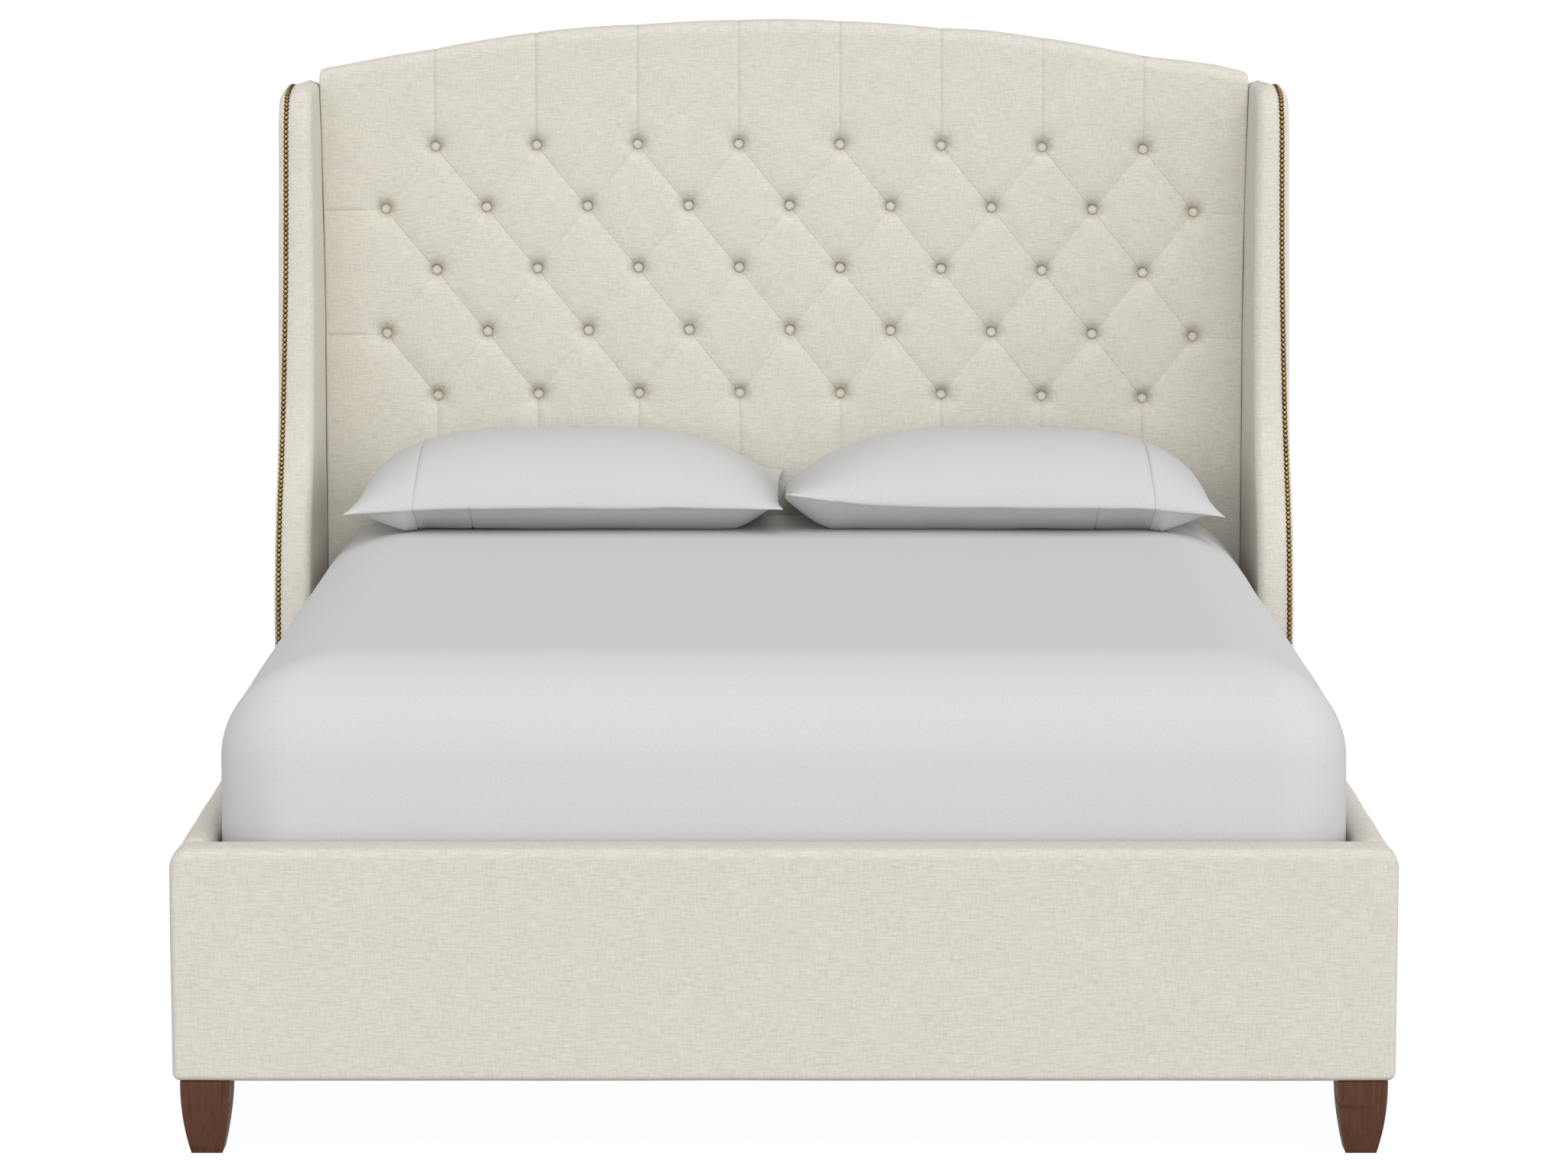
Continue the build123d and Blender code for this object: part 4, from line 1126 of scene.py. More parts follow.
def make_cushion():
    """Diamond tufted cushion with its edges rolled back over the panel."""
    sizes = bpy.context.scene.bed_tufting
    low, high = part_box("headboard_pad")
    seat_y = low_of("headboard_panel").y - SNUG
    roll, side_roll = sizes.edge_roll, sizes.side_roll
    inner = low_of("wing_cover_right").x - SNUG - side_roll
    radius = arch_radius()
    reach = radius - roll
    roll_steps = 6
    side_flattening, back_flattening = 0.85, 0.5
    side_lip = 0.002
    flare_from, flare_span = 0.70, 0.068

    def arch(x):
        return high.z - radius + np.sqrt(reach ** 2 - x ** 2) - crest_sink(x)

    x, z, depth = cushion_front(inner, arch)
    net = Net()
    numbers = [net.add(np.column_stack((x[row], low.y + depth[row], z[row]))) for row in range(len(x))]
    cushion_faces(net, numbers, depth)

    rim, ways = cushion_rim(x, inner, reach)
    rim_x, rim_z, rim_depth = (np.array([field[place] for place in rim]) for field in (x, z, depth))
    over = ways[:, 1] > 0.5
    roll_y = side_roll + (roll - side_roll) * np.clip(ways[:, 1], 0, 1) ** 2
    roll_z = np.where(ways[:, 1] > 0, roll, side_roll)
    end_y = np.where(over, high.y - SNUG, seat_y)
    rings = [[numbers[row][column] for row, column in rim]]
    stations = [(QUARTER * step / roll_steps, 0.0) for step in range(1, roll_steps + 1)]
    for angle, back in stations + [(QUARTER, 0.5), (QUARTER, 1.0)]:
        out = np.column_stack((ways[:, 0] * math.sin(angle), np.full(len(ways), -math.cos(angle)),
                               ways[:, 1] * math.sin(angle)))
        bent_y = low.y + roll_y * (1 - math.cos(angle))
        base = np.column_stack((rim_x + ways[:, 0] * side_roll * math.sin(angle),
                                bent_y + (end_y - bent_y) * back,
                                rim_z + ways[:, 1] * roll_z * math.sin(angle)))
        kept_share = 1 - side_flattening * math.sin(angle) * np.abs(ways[:, 0])
        kept_depth = rim_depth * kept_share * (1 - back_flattening * back)
        rings.append(net.add(base - out * kept_depth[:, None]))
    lip = np.where(over, sizes.lip - SNUG - crest_sink(rim_x), side_lip)
    inner_x = rim_x + ways[:, 0] * (side_roll - side_lip)
    inner_z = rim_z + ways[:, 1] * (roll_z - lip)
    for place_y in (end_y, np.full(len(ways), seat_y)):
        rings.append(net.add(np.column_stack((inner_x, place_y, inner_z))))
    net.tube(rings)
    net.faces.append(rings[-1])
    points = np.array(net.points)
    toward_side = ramp(np.abs(points[:, 0]), flare_from, flare_span)
    points[:, 0] += np.sign(points[:, 0]) * toward_side * flare(points[:, 2])
    net.points = points.tolist()
    cushion = net.build("headboard_cushion")
    dress(cushion, "frame", "linen", "tufted linen", "headboard_pad")


def make_buttons():
    """Cloth covered buttons at the bottom of their dimples."""
    radius = bpy.context.scene.bed_tufting.button_radius
    rows = tuft_rows()[0]
    seat = low_of("tuft_buttons").y + 0.10 * radius
    profile_shares = [(0, -0.9), (0.72, -0.9), (0.93, -0.72), (1.0, -0.45), (0.97, -0.2), (0.86, 0.0),
                      (0.66, 0.13), (0.42, 0.21), (0.2, 0.25), (0, 0.26)]
    cloth_share = 1.06
    profile = [(r * radius * cloth_share, h * radius) for r, h in profile_shares]
    shape = turned_shape("button_shape", profile, steps=20)
    points = []
    for x, z in (place for places in rows for place in places):
        aside, up = pulled(x, z - middle_height(rows))
        points.append((x + aside, seat, z + up))
    buttons = studded("covered_buttons", points, [(0, -1, 0)] * len(points), shape, "linen")
    discard(shape)
    dress(buttons, "frame", "linen", "linen", "tuft_buttons")


def wing_front():
    """Front edge of a wing from its base to the end of its upper bend, as (Y, Z) points and directions."""
    sizes = bpy.context.scene.bed_wing
    low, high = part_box("wing_cover_right")
    crest = high.z - sizes.top_drop
    turn = math.acos((1 + math.cos(sizes.lean) - sizes.sweep / sizes.sweep_radius) / 2)
    low_steps, back_steps, forward_steps, high_steps, top_steps = 18, 12, 10, 22, 16
    points, ways = [], []

    def heading_point(place, heading):
        points.append(tuple(place))
        ways.append((-math.sin(heading), math.cos(heading)))

    def arc(place, heading, radius, angle, steps):
        """Turns left for a positive angle; returns the new place and heading."""
        side = 1 if angle > 0 else -1
        centre = (place[0] - side * radius * math.sin(heading), place[1] + side * radius * math.cos(heading))
        for step in range(1, steps + 1):
            new = heading + angle * step / steps
            heading_point((centre[0] + side * radius * math.sin(new),
                           centre[1] - side * radius * math.cos(new)), new)
        return points[-1], heading + angle

    def run(place, heading, length, steps):
        for step in range(1, steps + 1):
            share = length * step / steps
            heading_point((place[0] + share * math.cos(heading),
                           place[1] + share * math.sin(heading)), heading)
        return points[-1]

    heading_point((low.y, low.z), QUARTER)
    place = run(points[0], QUARTER, sizes.knee - low.z, low_steps)
    place, heading = arc(place, QUARTER, sizes.sweep_radius, -turn, back_steps)
    place, heading = arc(place, heading, sizes.sweep_radius, turn - sizes.lean, forward_steps)
    rise = crest - place[1] - sizes.top_radius * (1 - math.sin(sizes.lean))
    place = run(place, heading, rise / math.cos(sizes.lean), high_steps)
    arc(place, heading, sizes.top_radius, sizes.lean - QUARTER, top_steps)
    return points, ways


def wing_loop():
    """Whole outline of a wing as a loop of four sides: base, back, top and front.

    Sides that face each other have the same count of steps. The top side ends at the cut, where the front
    edge's upper bend has turned half way.
    """
    sizes = bpy.context.scene.bed_wing
    low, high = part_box("wing_cover_right")
    crest = high.z - sizes.top_drop
    front, ways = (places[::-1] for places in wing_front())
    base, back = sizes.base_radius, sizes.back_radius
    base_steps, corner_steps = 24, 6
    cut = next(number for number, way in enumerate(ways) if way[1] < -way[0])
    kept = [number for number, place in enumerate(front) if place[1] > low.z + base]
    top_steps = base_steps + corner_steps // 2 - cut
    back_steps = len(kept) - cut - corner_steps // 2
    loop = Loop()
    loop.bend((low.y + base, low.z + base), base, -2 * QUARTER, -QUARTER, corner_steps)
    loop.run((low.y + base, low.z), (high.y - base, low.z), (0, -1), base_steps)
    loop.bend((high.y - base, low.z + base), base, -QUARTER, 0, corner_steps)
    loop.run((high.y, low.z + base), (high.y, crest - back), (1, 0), back_steps)
    loop.bend((high.y - back, crest - back), back, 0, QUARTER, corner_steps)
    loop.run((high.y - back, crest), front[0], (0, 1), top_steps)
    loop.corners.append(len(loop.points) + cut)
    for number in kept:
        loop.add(front[number], ways[number])
    return loop


def wing_seat(y, z, way_z):
    """How far a wing's nails stand in from their line, how far below the padding's crest, and how far
    the place lies over the wing's top, as a share."""
    sizes = bpy.context.scene.bed_wing
    drift_from, drift_span = 0.72, 0.38
    top_from, top_span = 0.78, 0.22
    sink_slope = 0.045
    share = ramp(z, drift_from, drift_span)
    over = ramp(way_z, top_from, top_span) ** 1.2
    behind = np.maximum(y - wing_front()[0][-1][0], 0.0)
    inward = sizes.nail_drift * share * share * (3 - 2 * share) + sizes.shoulder_in * over
    return inward, over * (sizes.shoulder_drop + sink_slope * behind), over


def wing_stations(loop, inner, outer, side):
    """Stations of a wing's padding, from the inner face over the rolled edge to the outer face."""
    sizes = bpy.context.scene.bed_wing
    points, outward, _ = loop.arrays()
    inner_steps = 8
    nail_seat, nail_depth, outer_start = 0.0035, 0.0008, 0.0025
    base_from, back_from, fade = 0.012, -0.10, 0.07
    above_base = ramp(points[:, 1] - points[:, 1].min(), base_from, fade)
    toward_front = np.clip(-outward[:, 0] + np.maximum(outward[:, 1], 0), 0, 1) * above_base
    roll = sizes.base_roll + (sizes.roll - sizes.base_roll) * toward_front
    bulge = sizes.bulge * toward_front * ramp(-outward[:, 0], 0, 0.5)
    inward, nail_drop, over = wing_seat(points[:, 0], points[:, 1], outward[:, 1])
    nail_in = sizes.nail_line + inward
    nail_x = outer - side * nail_in
    inner = inner + side * flare(points[:, 1])
    stations = []
    for step in range(inner_steps + 1):
        angle = QUARTER * step / inner_steps
        stations.append((roll * (1 - math.sin(angle)) - bulge * math.sin(angle) ** 2,
                         inner + side * sizes.roll * (1 - math.cos(angle))))
    crest = inner + side * sizes.roll
    for step in range(1, inner_steps + 1):
        share = step / inner_steps
        crown = sizes.crown * over * math.sin(math.pi * share ** 0.8)
        stations.append((nail_drop * share ** 2.5 - crown - bulge * math.cos(QUARTER * share ** 1.4),
                         crest + (nail_x - side * nail_seat - crest) * share))
    stations.append((nail_drop + nail_depth, nail_x))
    back = ramp(points[:, 0] - points[:, 0].max(), back_from, fade)
    edge = sizes.outer_edge + sizes.shoulder_edge * over * (1 - 0.5 * back)
    for degrees in (85, 68, 50, 33, 16, 0):
        angle = math.radians(degrees)
        stations.append((edge - (edge - nail_drop) * math.sin(angle),
                         outer - side * (nail_in - outer_start) * (1 - math.cos(angle))))
    return stations


def make_wings():
    """Padded wings, rolled on their inner edge."""
    for name, side in SIDES.items():
        low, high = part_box(f"wing_cover_{name}")
        inner, outer = (low.x, high.x) if side > 0 else (high.x, low.x)
        loop = wing_loop()
        wing = wrapped(f"wing_padding_{name}", loop, wing_stations(loop, inner, outer, side), axis=0)
        soften(wing, height=0.0008, pitch=0.11, seed=side + 3)
        dress(wing, "frame", "linen", "linen", f"wing_cover_{name}")


def make_nails():
    """Rows of domed brass nails along the wings' front edges and over their tops."""
    sizes = bpy.context.scene.bed_wing
    high = high_of("wing_cover_right")
    front, ways = wing_front()
    dome_shares = [(0, -0.4), (0.96, -0.4), (1.0, -0.05), (0.94, 0.32), (0.74, 0.68), (0.42, 0.92), (0, 1.0)]
    profile = [(r * sizes.nail_radius, h * sizes.nail_height) for r, h in dome_shares]
    shape = turned_shape("nail_shape", profile, steps=12)
    above_base, before_back, outward_turn = 0.015, 0.030, 0.45
    flats = front + [(high.y - before_back, front[-1][1])]
    facings = ways + [(0, 1)]
    flats[0] = (flats[0][0], flats[0][1] + above_base)
    for name, side in SIDES.items():
        points, turned = [], []
        for (y, z), (way_y, way_z) in zip(flats, facings):
            inward, below, over = (float(value) for value in wing_seat(y, z, way_z))
            lift = sizes.nail_lift - below
            points.append((side * (high.x - sizes.nail_line - inward), y + way_y * lift, z + way_z * lift))
            turned.append((side * outward_turn * over, way_y, way_z))
        nails = studded(f"brass_nails_{name}", points, turned, shape,
                        "antique brass", pitch=sizes.nail_pitch, uneven=0.02)
        dress(nails, "frame", "antique_brass", "antique brass", f"nail_trim_{name}")
    discard(shape)


def make_footboard():
    """Padded board with a slightly crowned upper edge, a little narrower at its base."""
    sizes = bpy.context.scene.bed_boards
    low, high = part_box("footboard_cover")
    front = rounded_edge(sizes.board_roll, sizes.board_roll * 1.5, low.y, sizes.board_edge)
    middle = [(0.0, -sizes.board_crown * math.sin(math.pi * share), low.y + (high.y - low.y) * share)
              for share in (0.3, 0.5, 0.7)]
    back = [(inset, top_inset, low.y + high.y - across) for inset, top_inset, across in front[::-1]]
    radii = (sizes.board_base, sizes.board_base, sizes.board_corner, sizes.board_corner)
    board = boxed("footboard_padding", (low.x, high.x, low.z, high.z), radii, front + middle + back,
                  axis=1, steps=(64, 14))
    points = read(board.data.vertices, "co", 3)
    rise = (points[:, 2] - low.z) / (high.z - low.z)
    points[:, 0] *= 1 - sizes.board_taper * (2 - rise)
    write_points(board.data, points)
    soften(board, height=0.0007, pitch=0.16, seed=1)
    dress(board, "frame", "linen", "linen", "footboard_cover")


def make_side_rails():
    """Padded rails, rounder on top than below."""
    sizes = bpy.context.scene.bed_boards
    radii = (sizes.rail_base, sizes.rail_base, sizes.rail_edge, sizes.rail_edge)
    for name, side in SIDES.items():
        low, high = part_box(f"side_rail_cover_{name}")
        stations = [(0.0, 0.0, place) for place in np.linspace(low.y, high.y, num=60)]
        rail = boxed(f"side_rail_padding_{name}", (low.x, high.x, low.z, high.z), radii, stations,
                     axis=1, steps=(6, 12))
        soften(rail, height=0.001, pitch=0.14, seed=side + 6)
        dress(rail, "frame", "linen", "linen", f"side_rail_cover_{name}")


def make_mattress():
    """Mattress in a fitted sheet: round shoulders, full sides and a nearly flat top."""
    sizes = bpy.context.scene.bed_bedding
    low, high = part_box("mattress")
    stations = rounded_edge(sizes.base_edge, sizes.base_edge, low.z, sizes.base_edge)
    side_low, side_high = stations[-1][2], high.z - sizes.shoulder_drop
    stations += [(0.0, 0.0, side_low + (side_high - side_low) * share) for share in (0.2, 0.4, 0.6, 0.8, 1.0)]
    fullness = 2 / sizes.shoulder_fullness
    shoulder_steps = 18
    for step in range(1, shoulder_steps + 1):
        angle = QUARTER * step / shoulder_steps
        inset = sizes.shoulder * (1 - math.cos(angle) ** fullness)
        stations.append((inset, inset, side_high + sizes.shoulder_drop * math.sin(angle) ** fullness))
    radii = (sizes.corner, sizes.corner, sizes.head_corner, sizes.head_corner)
    mattress = boxed("mattress_in_sheet", (low.x, high.x, low.y, high.y), radii, stations,
                     axis=2, steps=(44, 60), arc_steps=16)
    soften(mattress, height=0.0022, pitch=0.32, seed=2)
    held_in(mattress, "mattress")
    dress(mattress, "mattress", "mattress_sheet", "mattress sheet", "mattress")


def pillow_cells(hems):
    """Shares across and along a pillow, closer at its seams, with a narrow strip of cells at each hem."""
    across, along = (np.sin(np.linspace(-1, 1, cells + 1) * QUARTER) for cells in PILLOW_CELLS)
    for hem in hems:
        across = across[np.abs(across - hem) > 2 * HEM_STRIP]
        across = np.concatenate((across, [hem - HEM_STRIP, hem, hem + HEM_STRIP]))
    return np.meshgrid(np.sort(across), along)


def pillow_heights(u, v, half_x, half_y, hems, tips):
    """Heights of a pillow's upper and lower sheet over the mattress, which meet in its edge seam."""
    sizes = bpy.context.scene.bed_bedding
    outer_lift, inner_lift, end_lift, flap_lift = 0.105, 0.075, 0.088, 0.050
    flap_from, flap_span = -0.03, 0.08
    groove_depth, hem_step = 0.0016, 0.0008
    outer_share, back_share = (1 + u) / 2, (1 + v) / 2
    front = tips["outer front"] * outer_share + tips["inner front"] * (1 - outer_share)
    back = tips["outer back"] * outer_share + tips["inner back"] * (1 - outer_share)
    tip_height = front * (1 - back_share) + back * back_share
    toward_tip = (np.abs(u) * np.abs(v)) ** 2.2
    seam = sizes.pillow_seam * (1 - toward_tip) + tip_height * toward_tip
    swell = (1 - np.abs(u) ** 3.3) ** np.where(u > 0, 0.66, 0.86) * (1 - np.abs(v) ** 2.4) ** 0.55
    top = seam + (sizes.pillow_crown - sizes.pillow_seam) * swell
    flap = ramp(u - hems[0], flap_from, flap_span)
    reach_x = ramp((1 - np.abs(u)) * half_x, 0, np.where(u > 0, outer_lift, inner_lift))
    reach_y = ramp((1 - np.abs(v)) * half_y, 0, end_lift - flap_lift * flap)
    under = seam * (1 - (1 - (1 - reach_x) ** 1.5) * (1 - (1 - reach_y) ** 1.25)) ** 0.95
    inside = np.minimum(swell * 8, 1)
    grooves = [np.where(np.abs(u - hem) < 0.001, groove_depth, 0.0) * inside for hem in hems]
    top -= grooves[0] - hem_step * (u > hems[0]) * inside
    under += grooves[0] + grooves[1]
    return top, under


def pillow_net(name):
    """Pillow as two sheets that meet in an edge seam, with small ears and a flat rest, marked at its hems.

    u goes from the inner side to the outer one and v from the front to the back, both from -1 to 1.
    """
    sizes = bpy.context.scene.bed_bedding
    side, tips = SIDES[name], PILLOW_TIPS[name]
    low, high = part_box(f"pillow_{name}")
    middle_x, middle_y = (low.x + high.x) / 2, (low.y + high.y) / 2
    half_x, half_y = (high.x - low.x) / 2, (high.y - low.y) / 2
    hems = [1 - sizes.hem / half_x, 1 - sizes.hem_back / half_x]
    back_ear = 0.030
    u, v = pillow_cells(hems)
    outer = ramp(u, 0, 0.5)
    pull_x = sizes.pillow_pull * outer + tips["inner pull"] * (1 - outer)
    x = u * half_x - np.sign(u) * pull_x * np.abs(u) ** 3 * (1 - np.abs(v) ** 5)
    x -= back_ear * outer * np.abs(u) ** 3 * np.clip(v, 0, 1) ** 3
    y = v * (half_y - 0.6 * sizes.pillow_pull * (1 - np.abs(u) ** 6))
    net = Net()
    marks = []
    for below, heights in enumerate(pillow_heights(u, v, half_x, half_y, hems, tips)):
        places = np.stack((side * x + middle_x, y + middle_y, low.z + heights), axis=-1)
        net.sheet([net.add(row) for row in places])
        second = (u - hems[1]) * half_x if below else np.ones_like(u)
        marks.append(np.stack(((u - hems[0]) * half_x, second, np.zeros_like(u)), axis=-1).reshape(-1, 3))
    return net.build(f"stuffed_pillow_{name}", np.vstack(marks))


def settle(piece, floor_z, limit):
    """Lets a stuffed case settle under its own pressure, and holds each point near its start."""
    scene = bpy.context.scene
    start = read(piece.data.vertices, "co", 3)
    cloth = piece.modifiers.new("settle", "CLOTH")
    for name, value in PILLOW_CLOTH.items():
        setattr(cloth.settings, name, value)
    cloth.settings.effector_weights.gravity = 0
    cloth.collision_settings.use_collision = False
    cloth.collision_settings.use_self_collision = False
    cloth.point_cache.frame_start = 1
    cloth.point_cache.frame_end = SETTLE_FRAMES
    for number in range(1, SETTLE_FRAMES + 1):
        scene.frame_set(number)
    mesh = evaluated_mesh(piece)
    moved = read(mesh.vertices, "co", 3) - start
    bpy.data.meshes.remove(mesh)
    piece.modifiers.clear()
    scene.frame_set(1)
    least, resting_height = 1e-9, 0.002
    length = np.maximum(np.linalg.norm(moved, axis=1, keepdims=True), least)
    points = start + moved / length * np.minimum(length, limit)
    resting = start[:, 2] < floor_z + resting_height
    points[resting] = start[resting]
    points[:, 2] = np.maximum(points[:, 2], floor_z)
    write_points(piece.data, points)


def make_pillows():
    """Two pillows side by side in cotton cases."""
    limit = bpy.context.scene.bed_bedding.settle_limit
    for name, side in SIDES.items():
        node = f"pillow_{name}"
        pillow = pillow_net(name)
        soften(pillow, height=0.0016, pitch=0.10, seed=side + 5)
        settle(pillow, low_of(node).z, limit)
        held_in(pillow, node, spare=0.002)
        lay_cloth(pillow.data)
        dress(pillow, node, "pillow_cotton", "pillow cotton", node)


def eased(node, name, width):
    """Copy of a wooden node with its long sharp edges rounded over."""
    flat, sharp, smooth = math.radians(0.5), math.radians(40), math.radians(32)
    work = bmesh.new()
    work.from_mesh(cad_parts[node].data)
    bmesh.ops.remove_doubles(work, verts=work.verts, dist=WELD)
    bmesh.ops.dissolve_limit(work, angle_limit=flat, verts=work.verts, edges=work.edges)
    edges = [edge for edge in work.edges if len(edge.link_faces) == 2
             and edge.calc_face_angle() > sharp and edge.calc_length() > 4 * width]
    bmesh.ops.bevel(work, geom=edges, offset=width, segments=3, profile=0.5, affect="EDGES",
                    clamp_overlap=True)
    bmesh.ops.triangulate(work, faces=[face for face in work.faces if len(face.verts) > 4])
    mesh = bpy.data.meshes.new(name)
    work.to_mesh(mesh)
    work.free()
    piece = placed(name, mesh)
    mesh.set_sharp_from_angle(angle=smooth)
    return piece


def make_front_legs():
    """Tapered legs of stained wood with softened corners, their feet set a little outwards."""
    spread = bpy.context.scene.bed_boards.leg_spread
    for name, side in SIDES.items():
        node = f"front_leg_{name}"
        leg = eased(node, f"turned_{node}", width=0.0014)
        low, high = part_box(node)
        points = read(leg.data.vertices, "co", 3)
        down = 1 - (points[:, 2] - low.z) / (high.z - low.z)
        points[:, 0] += side * spread * down ** 1.6
        write_points(leg.data, points)
        dress(leg, "frame", "stained_wood", "stained wood", node)


def make_base():
    """Slats, beam, cleats and centre legs with their edges eased by a width of their own."""
    woods = {
        "slats": ("slat_wood", "slat wood", 0.0025),
        "centre_beam": ("frame_wood", "pine along y", 0.003),
        "centre_leg_front": ("frame_wood", "pine along z", 0.002),
        "centre_leg_rear": ("frame_wood", "pine along z", 0.002),
        "slat_cleat_left": ("frame_wood", "pine along y", 0.0015),
        "slat_cleat_right": ("frame_wood", "pine along y", 0.0015),
    }
    for node, (slot, finish_name, width) in woods.items():
        dress(eased(node, f"planed_{node}", width), "frame", slot, finish_name, node)


def backing_loop(low, high):
    """Outline of the backing, which sinks with the cushion's crest and a little more, but not at its base."""
    sizes = bpy.context.scene.bed_boards
    corner, base, half = sizes.backing_corner, sizes.backing_base, high.x
    corner_steps, side_steps, long_steps = 4, 30, 40
    clear, sinking_height = 0.0012, 0.25
    radius = arch_radius()
    middle_z = high.z - radius
    spring = middle_z + math.sqrt(radius ** 2 - (half - corner) ** 2)
    crown = math.asin((half - corner) / radius)
    loop = Loop()
    loop.bend((-half + base, low.z + base), base, -2 * QUARTER, -QUARTER, corner_steps)
    loop.run((-half + base, low.z), (half - base, low.z), (0, -1), long_steps)
    loop.bend((half - base, low.z + base), base, -QUARTER, 0, corner_steps)
    loop.run((half, low.z + base), (half, spring - corner), (1, 0), side_steps)
    loop.bend((half - corner, spring - corner), corner, 0, QUARTER, corner_steps)
    loop.bend((0, middle_z), radius, QUARTER - crown, QUARTER + crown, long_steps, corner=False)
    loop.bend((-half + corner, spring - corner), corner, QUARTER, 2 * QUARTER, corner_steps)
    loop.run((-half, spring - corner), (-half, low.z + base), (-1, 0), side_steps)
    for point in loop.points:
        point[1] -= (float(crest_sink(point[0])) + clear) * float(ramp(point[1], low.z, sinking_height))
    return loop


def loop_area(loop):
    points = loop.arrays()[0]
    after = np.roll(points, -1, axis=0)
    return float(abs((points[:, 0] * after[:, 1] - points[:, 1] * after[:, 0]).sum()) / 2)


def staple_shape(width, wire):
    """Flat crown of a staple whose ends turn into the wood."""
    net = Net()
    half = width / 2
    stations = [(-half, -2 * wire), (-half, 0), (-half + wire, wire), (half - wire, wire), (half, 0),
                (half, -2 * wire)]
    rings = [net.add([(x, -wire, z), (x, wire, z), (x, wire, z + wire), (x, -wire, z + wire)])
             for x, z in stations]
    net.tube(rings)
    net.faces += [rings[0], rings[-1]]
    return net.build("staple_shape")


def make_back():
    """Black cloth stapled over the back of the headboard."""
    sizes = bpy.context.scene.bed_boards
    low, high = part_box("headboard_back_cover")
    loop = backing_loop(low, high)
    side_depth, bend_in, bend_depth, face_in = 0.0012, 0.0006, 0.0003, 0.002
    stations = [(0.0, low.y), (0.0, low.y + side_depth), (bend_in, high.y - bend_depth), (face_in, high.y)]
    cover = wrapped("stapled_backing", loop, stations, axis=1)
    dress(cover, "frame", "backing_cloth", "backing cloth", "headboard_back_cover")
    loop_area(loop)

    points, outward, _ = loop.arrays()
    line = points - outward * sizes.staple_inset
    line = in_space(np.vstack((line, line[:1])), high.y + sizes.staple_wire * 0.4, 1)
    shape = staple_shape(sizes.staple_width, sizes.staple_wire)
    staples = studded("backing_staples", line, [(0, 1, 0)] * len(line), shape, "zinc steel",
                      pitch=sizes.staple_pitch)
    discard(shape)
    dress(staples, "frame", "zinc_steel", "zinc steel")


def finish_frame():
    """Finishes of the nodes that keep the frame's own shape; what isn't named is plated steel."""
    finishes = {
        "pine along x": ["footboard_core", "headboard_cross_rails"],
        "pine along y": [f"{part}_{name}" for part in ("side_rail_core", "wing_cleat") for name in SIDES],
        "pine along z": [f"headboard_post_{name}" for name in SIDES],
        "plywood panel": ["headboard_panel"],
        "plywood wing": [f"wing_core_{name}" for name in SIDES],
        "webbing": ["slat_webbing"],
        "black steel": ["beam_shoes", "foot_brackets", "head_plates"],
        "black plastic": ["leg_glides", "leveller_pad_front", "leveller_pad_rear"],
    }
    finish_of = {node: name for name, nodes in finishes.items() for node in nodes}
    for name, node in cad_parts.items():
        node.data.materials.clear()
        node.data.materials.append(finish(finish_of.get(name, "zinc steel")))


def seen_directly(maker):
    """One for rays from the camera, and for those that mirrors and glass pass on."""
    rays = maker.node("ShaderNodeLightPath").socket.node.outputs
    kinds = ("Camera", "Glossy", "Transmission")
    camera, glossy, through = (Wire(maker, rays[f"Is {kind} Ray"]) for kind in kinds)
    return maker.maths("MAXIMUM", maker.maths("MAXIMUM", camera, glossy), through)


def make_floor():
    """Pale floor that the camera sees as white with a faint shadow."""
    sizes = bpy.context.scene.bed_stage
    reach, dark_share, light_share, glow_strength = 60.0, 0.59, 0.61, 1.06
    net = Net()
    net.sheet([net.add([(x, y, 0.0) for x in (-reach, 0.0, reach)]) for y in (-reach, 0.0, reach)])
    floor = net.build("studio_floor")
    material, maker = new_finish("studio floor")
    grain = maker.speckle(object_place(maker), (1.5, 1.5, 1.5), 2.0, 0.5)
    tone = maker.toned(grain, 0.3, 0.7, WHITE, dark_share, light_share)
    matte = maker.node("ShaderNodeBsdfDiffuse", None, {"Color": tone})
    glow = maker.node("ShaderNodeEmission", None, {"Color": WHITE, "Strength": glow_strength})
    factor = seen_directly(maker) * (1.0 - sizes.shade)
    surface = maker.node("ShaderNodeMixShader", None, {0: factor, 1: matte, 2: glow})
    maker.node("ShaderNodeOutputMaterial", None, {"Surface": surface})
    floor.data.materials.append(material)


def make_sky():
    """Even studio light, white where the camera looks past the floor."""
    scene = bpy.context.scene
    world = scene.world or bpy.data.worlds.new("studio")
    scene.world = world
    world.use_nodes = True
    maker = Maker(world.node_tree)
    strength = maker.spread(seen_directly(maker), 0.0, 1.0, scene.bed_stage.sky, 1.0)
    back = maker.node("ShaderNodeBackground", None, {"Color": WHITE, "Strength": strength})
    maker.node("ShaderNodeOutputWorld", None, {"Surface": back})


def make_camera():
    """Camera at the photograph's place, which looks along the bed and a little down."""
    sizes = bpy.context.scene.bed_stage
    data = bpy.data.cameras.new("camera")
    data.lens = sizes.lens
    data.sensor_width = 36.0
    data.clip_end = 200.0
    camera = linked("camera", data)
    camera.location = (0.0, low_of("footboard_cover").y - sizes.distance, sizes.height)
    camera.rotation_euler = (QUARTER - sizes.tilt, 0.0, 0.0)
    bpy.context.scene.camera = camera


def make_sun(name, toward, strength):
    """Wide soft light that comes from a direction."""
    data = bpy.data.lights.new(name, "SUN")
    data.energy = strength
    data.angle = bpy.context.scene.bed_stage.softness
    lamp = linked(name, data)
    lamp.location = toward
    lamp.rotation_euler = Vector(toward).to_track_quat("Z", "Y").to_euler()


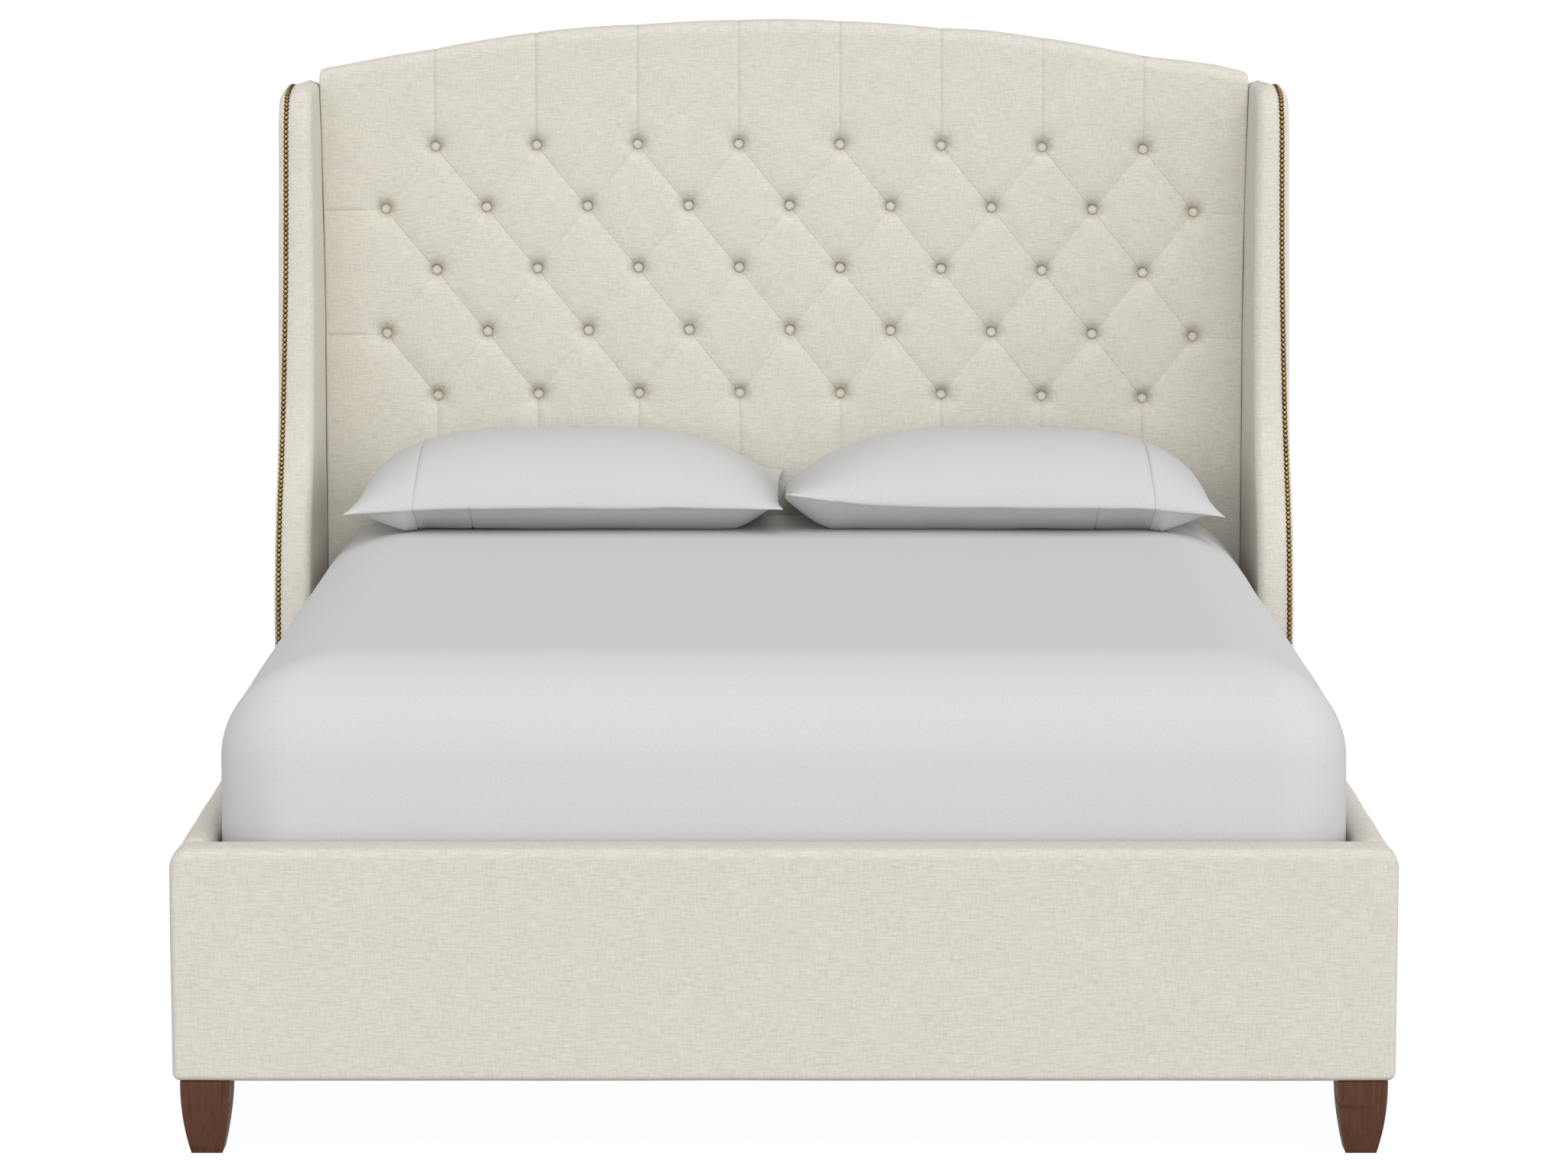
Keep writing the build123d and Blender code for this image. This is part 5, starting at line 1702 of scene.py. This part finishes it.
class BED_OT_stage(bpy.types.Operator):
    """Set up the floor, the light and the camera"""
    bl_idname = "bed.stage"
    bl_label = "Studio"

    def execute(self, context):
        context.scene.view_settings.view_transform = "Standard"
        make_floor()
        make_sky()
        make_camera()
        for name, toward in LIGHTS.items():
            make_sun(f"{name} light", toward, getattr(context.scene.bed_stage, name))
        return {"FINISHED"}


class BED_OT_frame(bpy.types.Operator):
    """Finish the frame's timber, steel, bolts and screws"""
    bl_idname = "bed.frame"
    bl_label = "Frame finishes"

    def execute(self, context):
        finish_frame()
        return {"FINISHED"}


class BED_OT_headboard(bpy.types.Operator):
    """Make the tufted cushion and its covered buttons"""
    bl_idname = "bed.headboard"
    bl_label = "Headboard"

    def execute(self, context):
        make_cushion()
        make_buttons()
        return {"FINISHED"}


class BED_OT_wings(bpy.types.Operator):
    """Make both padded wings"""
    bl_idname = "bed.wings"
    bl_label = "Wings"

    def execute(self, context):
        make_wings()
        return {"FINISHED"}


class BED_OT_nails(bpy.types.Operator):
    """Drive the rows of brass nails along the wings"""
    bl_idname = "bed.nails"
    bl_label = "Brass nails"

    def execute(self, context):
        make_nails()
        return {"FINISHED"}


class BED_OT_footboard(bpy.types.Operator):
    """Make the padded footboard"""
    bl_idname = "bed.footboard"
    bl_label = "Footboard"

    def execute(self, context):
        make_footboard()
        return {"FINISHED"}


class BED_OT_side_rails(bpy.types.Operator):
    """Make both padded side rails"""
    bl_idname = "bed.side_rails"
    bl_label = "Side rails"

    def execute(self, context):
        make_side_rails()
        return {"FINISHED"}


class BED_OT_legs(bpy.types.Operator):
    """Make the tapered front legs"""
    bl_idname = "bed.legs"
    bl_label = "Front legs"

    def execute(self, context):
        make_front_legs()
        return {"FINISHED"}


class BED_OT_base(bpy.types.Operator):
    """Ease the edges of the slats, the beam and what carries them"""
    bl_idname = "bed.base"
    bl_label = "Slats and beam"

    def execute(self, context):
        make_base()
        return {"FINISHED"}


class BED_OT_back(bpy.types.Operator):
    """Staple the backing cloth to the headboard"""
    bl_idname = "bed.back"
    bl_label = "Backing"

    def execute(self, context):
        make_back()
        return {"FINISHED"}


class BED_OT_mattress(bpy.types.Operator):
    """Make the mattress in its fitted sheet"""
    bl_idname = "bed.mattress"
    bl_label = "Mattress"

    def execute(self, context):
        make_mattress()
        return {"FINISHED"}


class BED_OT_pillows(bpy.types.Operator):
    """Make both pillows"""
    bl_idname = "bed.pillows"
    bl_label = "Pillows"

    def execute(self, context):
        make_pillows()
        return {"FINISHED"}


OPERATORS = (BED_OT_stage, BED_OT_frame, BED_OT_headboard, BED_OT_wings, BED_OT_nails, BED_OT_footboard,
             BED_OT_side_rails, BED_OT_legs, BED_OT_base, BED_OT_back, BED_OT_mattress, BED_OT_pillows)
GROUPS = {"bed_tufting": TuftingSizes, "bed_wing": WingSizes, "bed_boards": BoardSizes,
          "bed_bedding": BeddingSizes, "bed_stage": StageSizes, "bed_finishes": Finishes}


class BED_PT_panel(bpy.types.Panel):
    """Lists the steps that dress the bed, and its sizes and colours"""
    bl_idname = "BED_PT_panel"
    bl_label = "Wingback bed"
    bl_space_type = "VIEW_3D"
    bl_region_type = "UI"
    bl_category = "Bed"

    def draw(self, context):
        for operator in OPERATORS:
            self.layout.operator(operator.bl_idname)
        for group in GROUPS:
            values = getattr(context.scene, group)
            column = self.layout.column()
            for name in values.__annotations__:
                column.prop(values, name)


def register():
    for kind in (*GROUPS.values(), *OPERATORS, BED_PT_panel):
        bpy.utils.register_class(kind)
    for name, kind in GROUPS.items():
        setattr(bpy.types.Scene, name, PointerProperty(type=kind))


def unregister():
    for name in GROUPS:
        delattr(bpy.types.Scene, name)
    for kind in reversed((*GROUPS.values(), *OPERATORS, BED_PT_panel)):
        bpy.utils.unregister_class(kind)


def main():
    register()
    for operator in OPERATORS:
        family, name = operator.bl_idname.split(".")
        getattr(getattr(bpy.ops, family), name)()


if __name__ == "__main__":
    main()
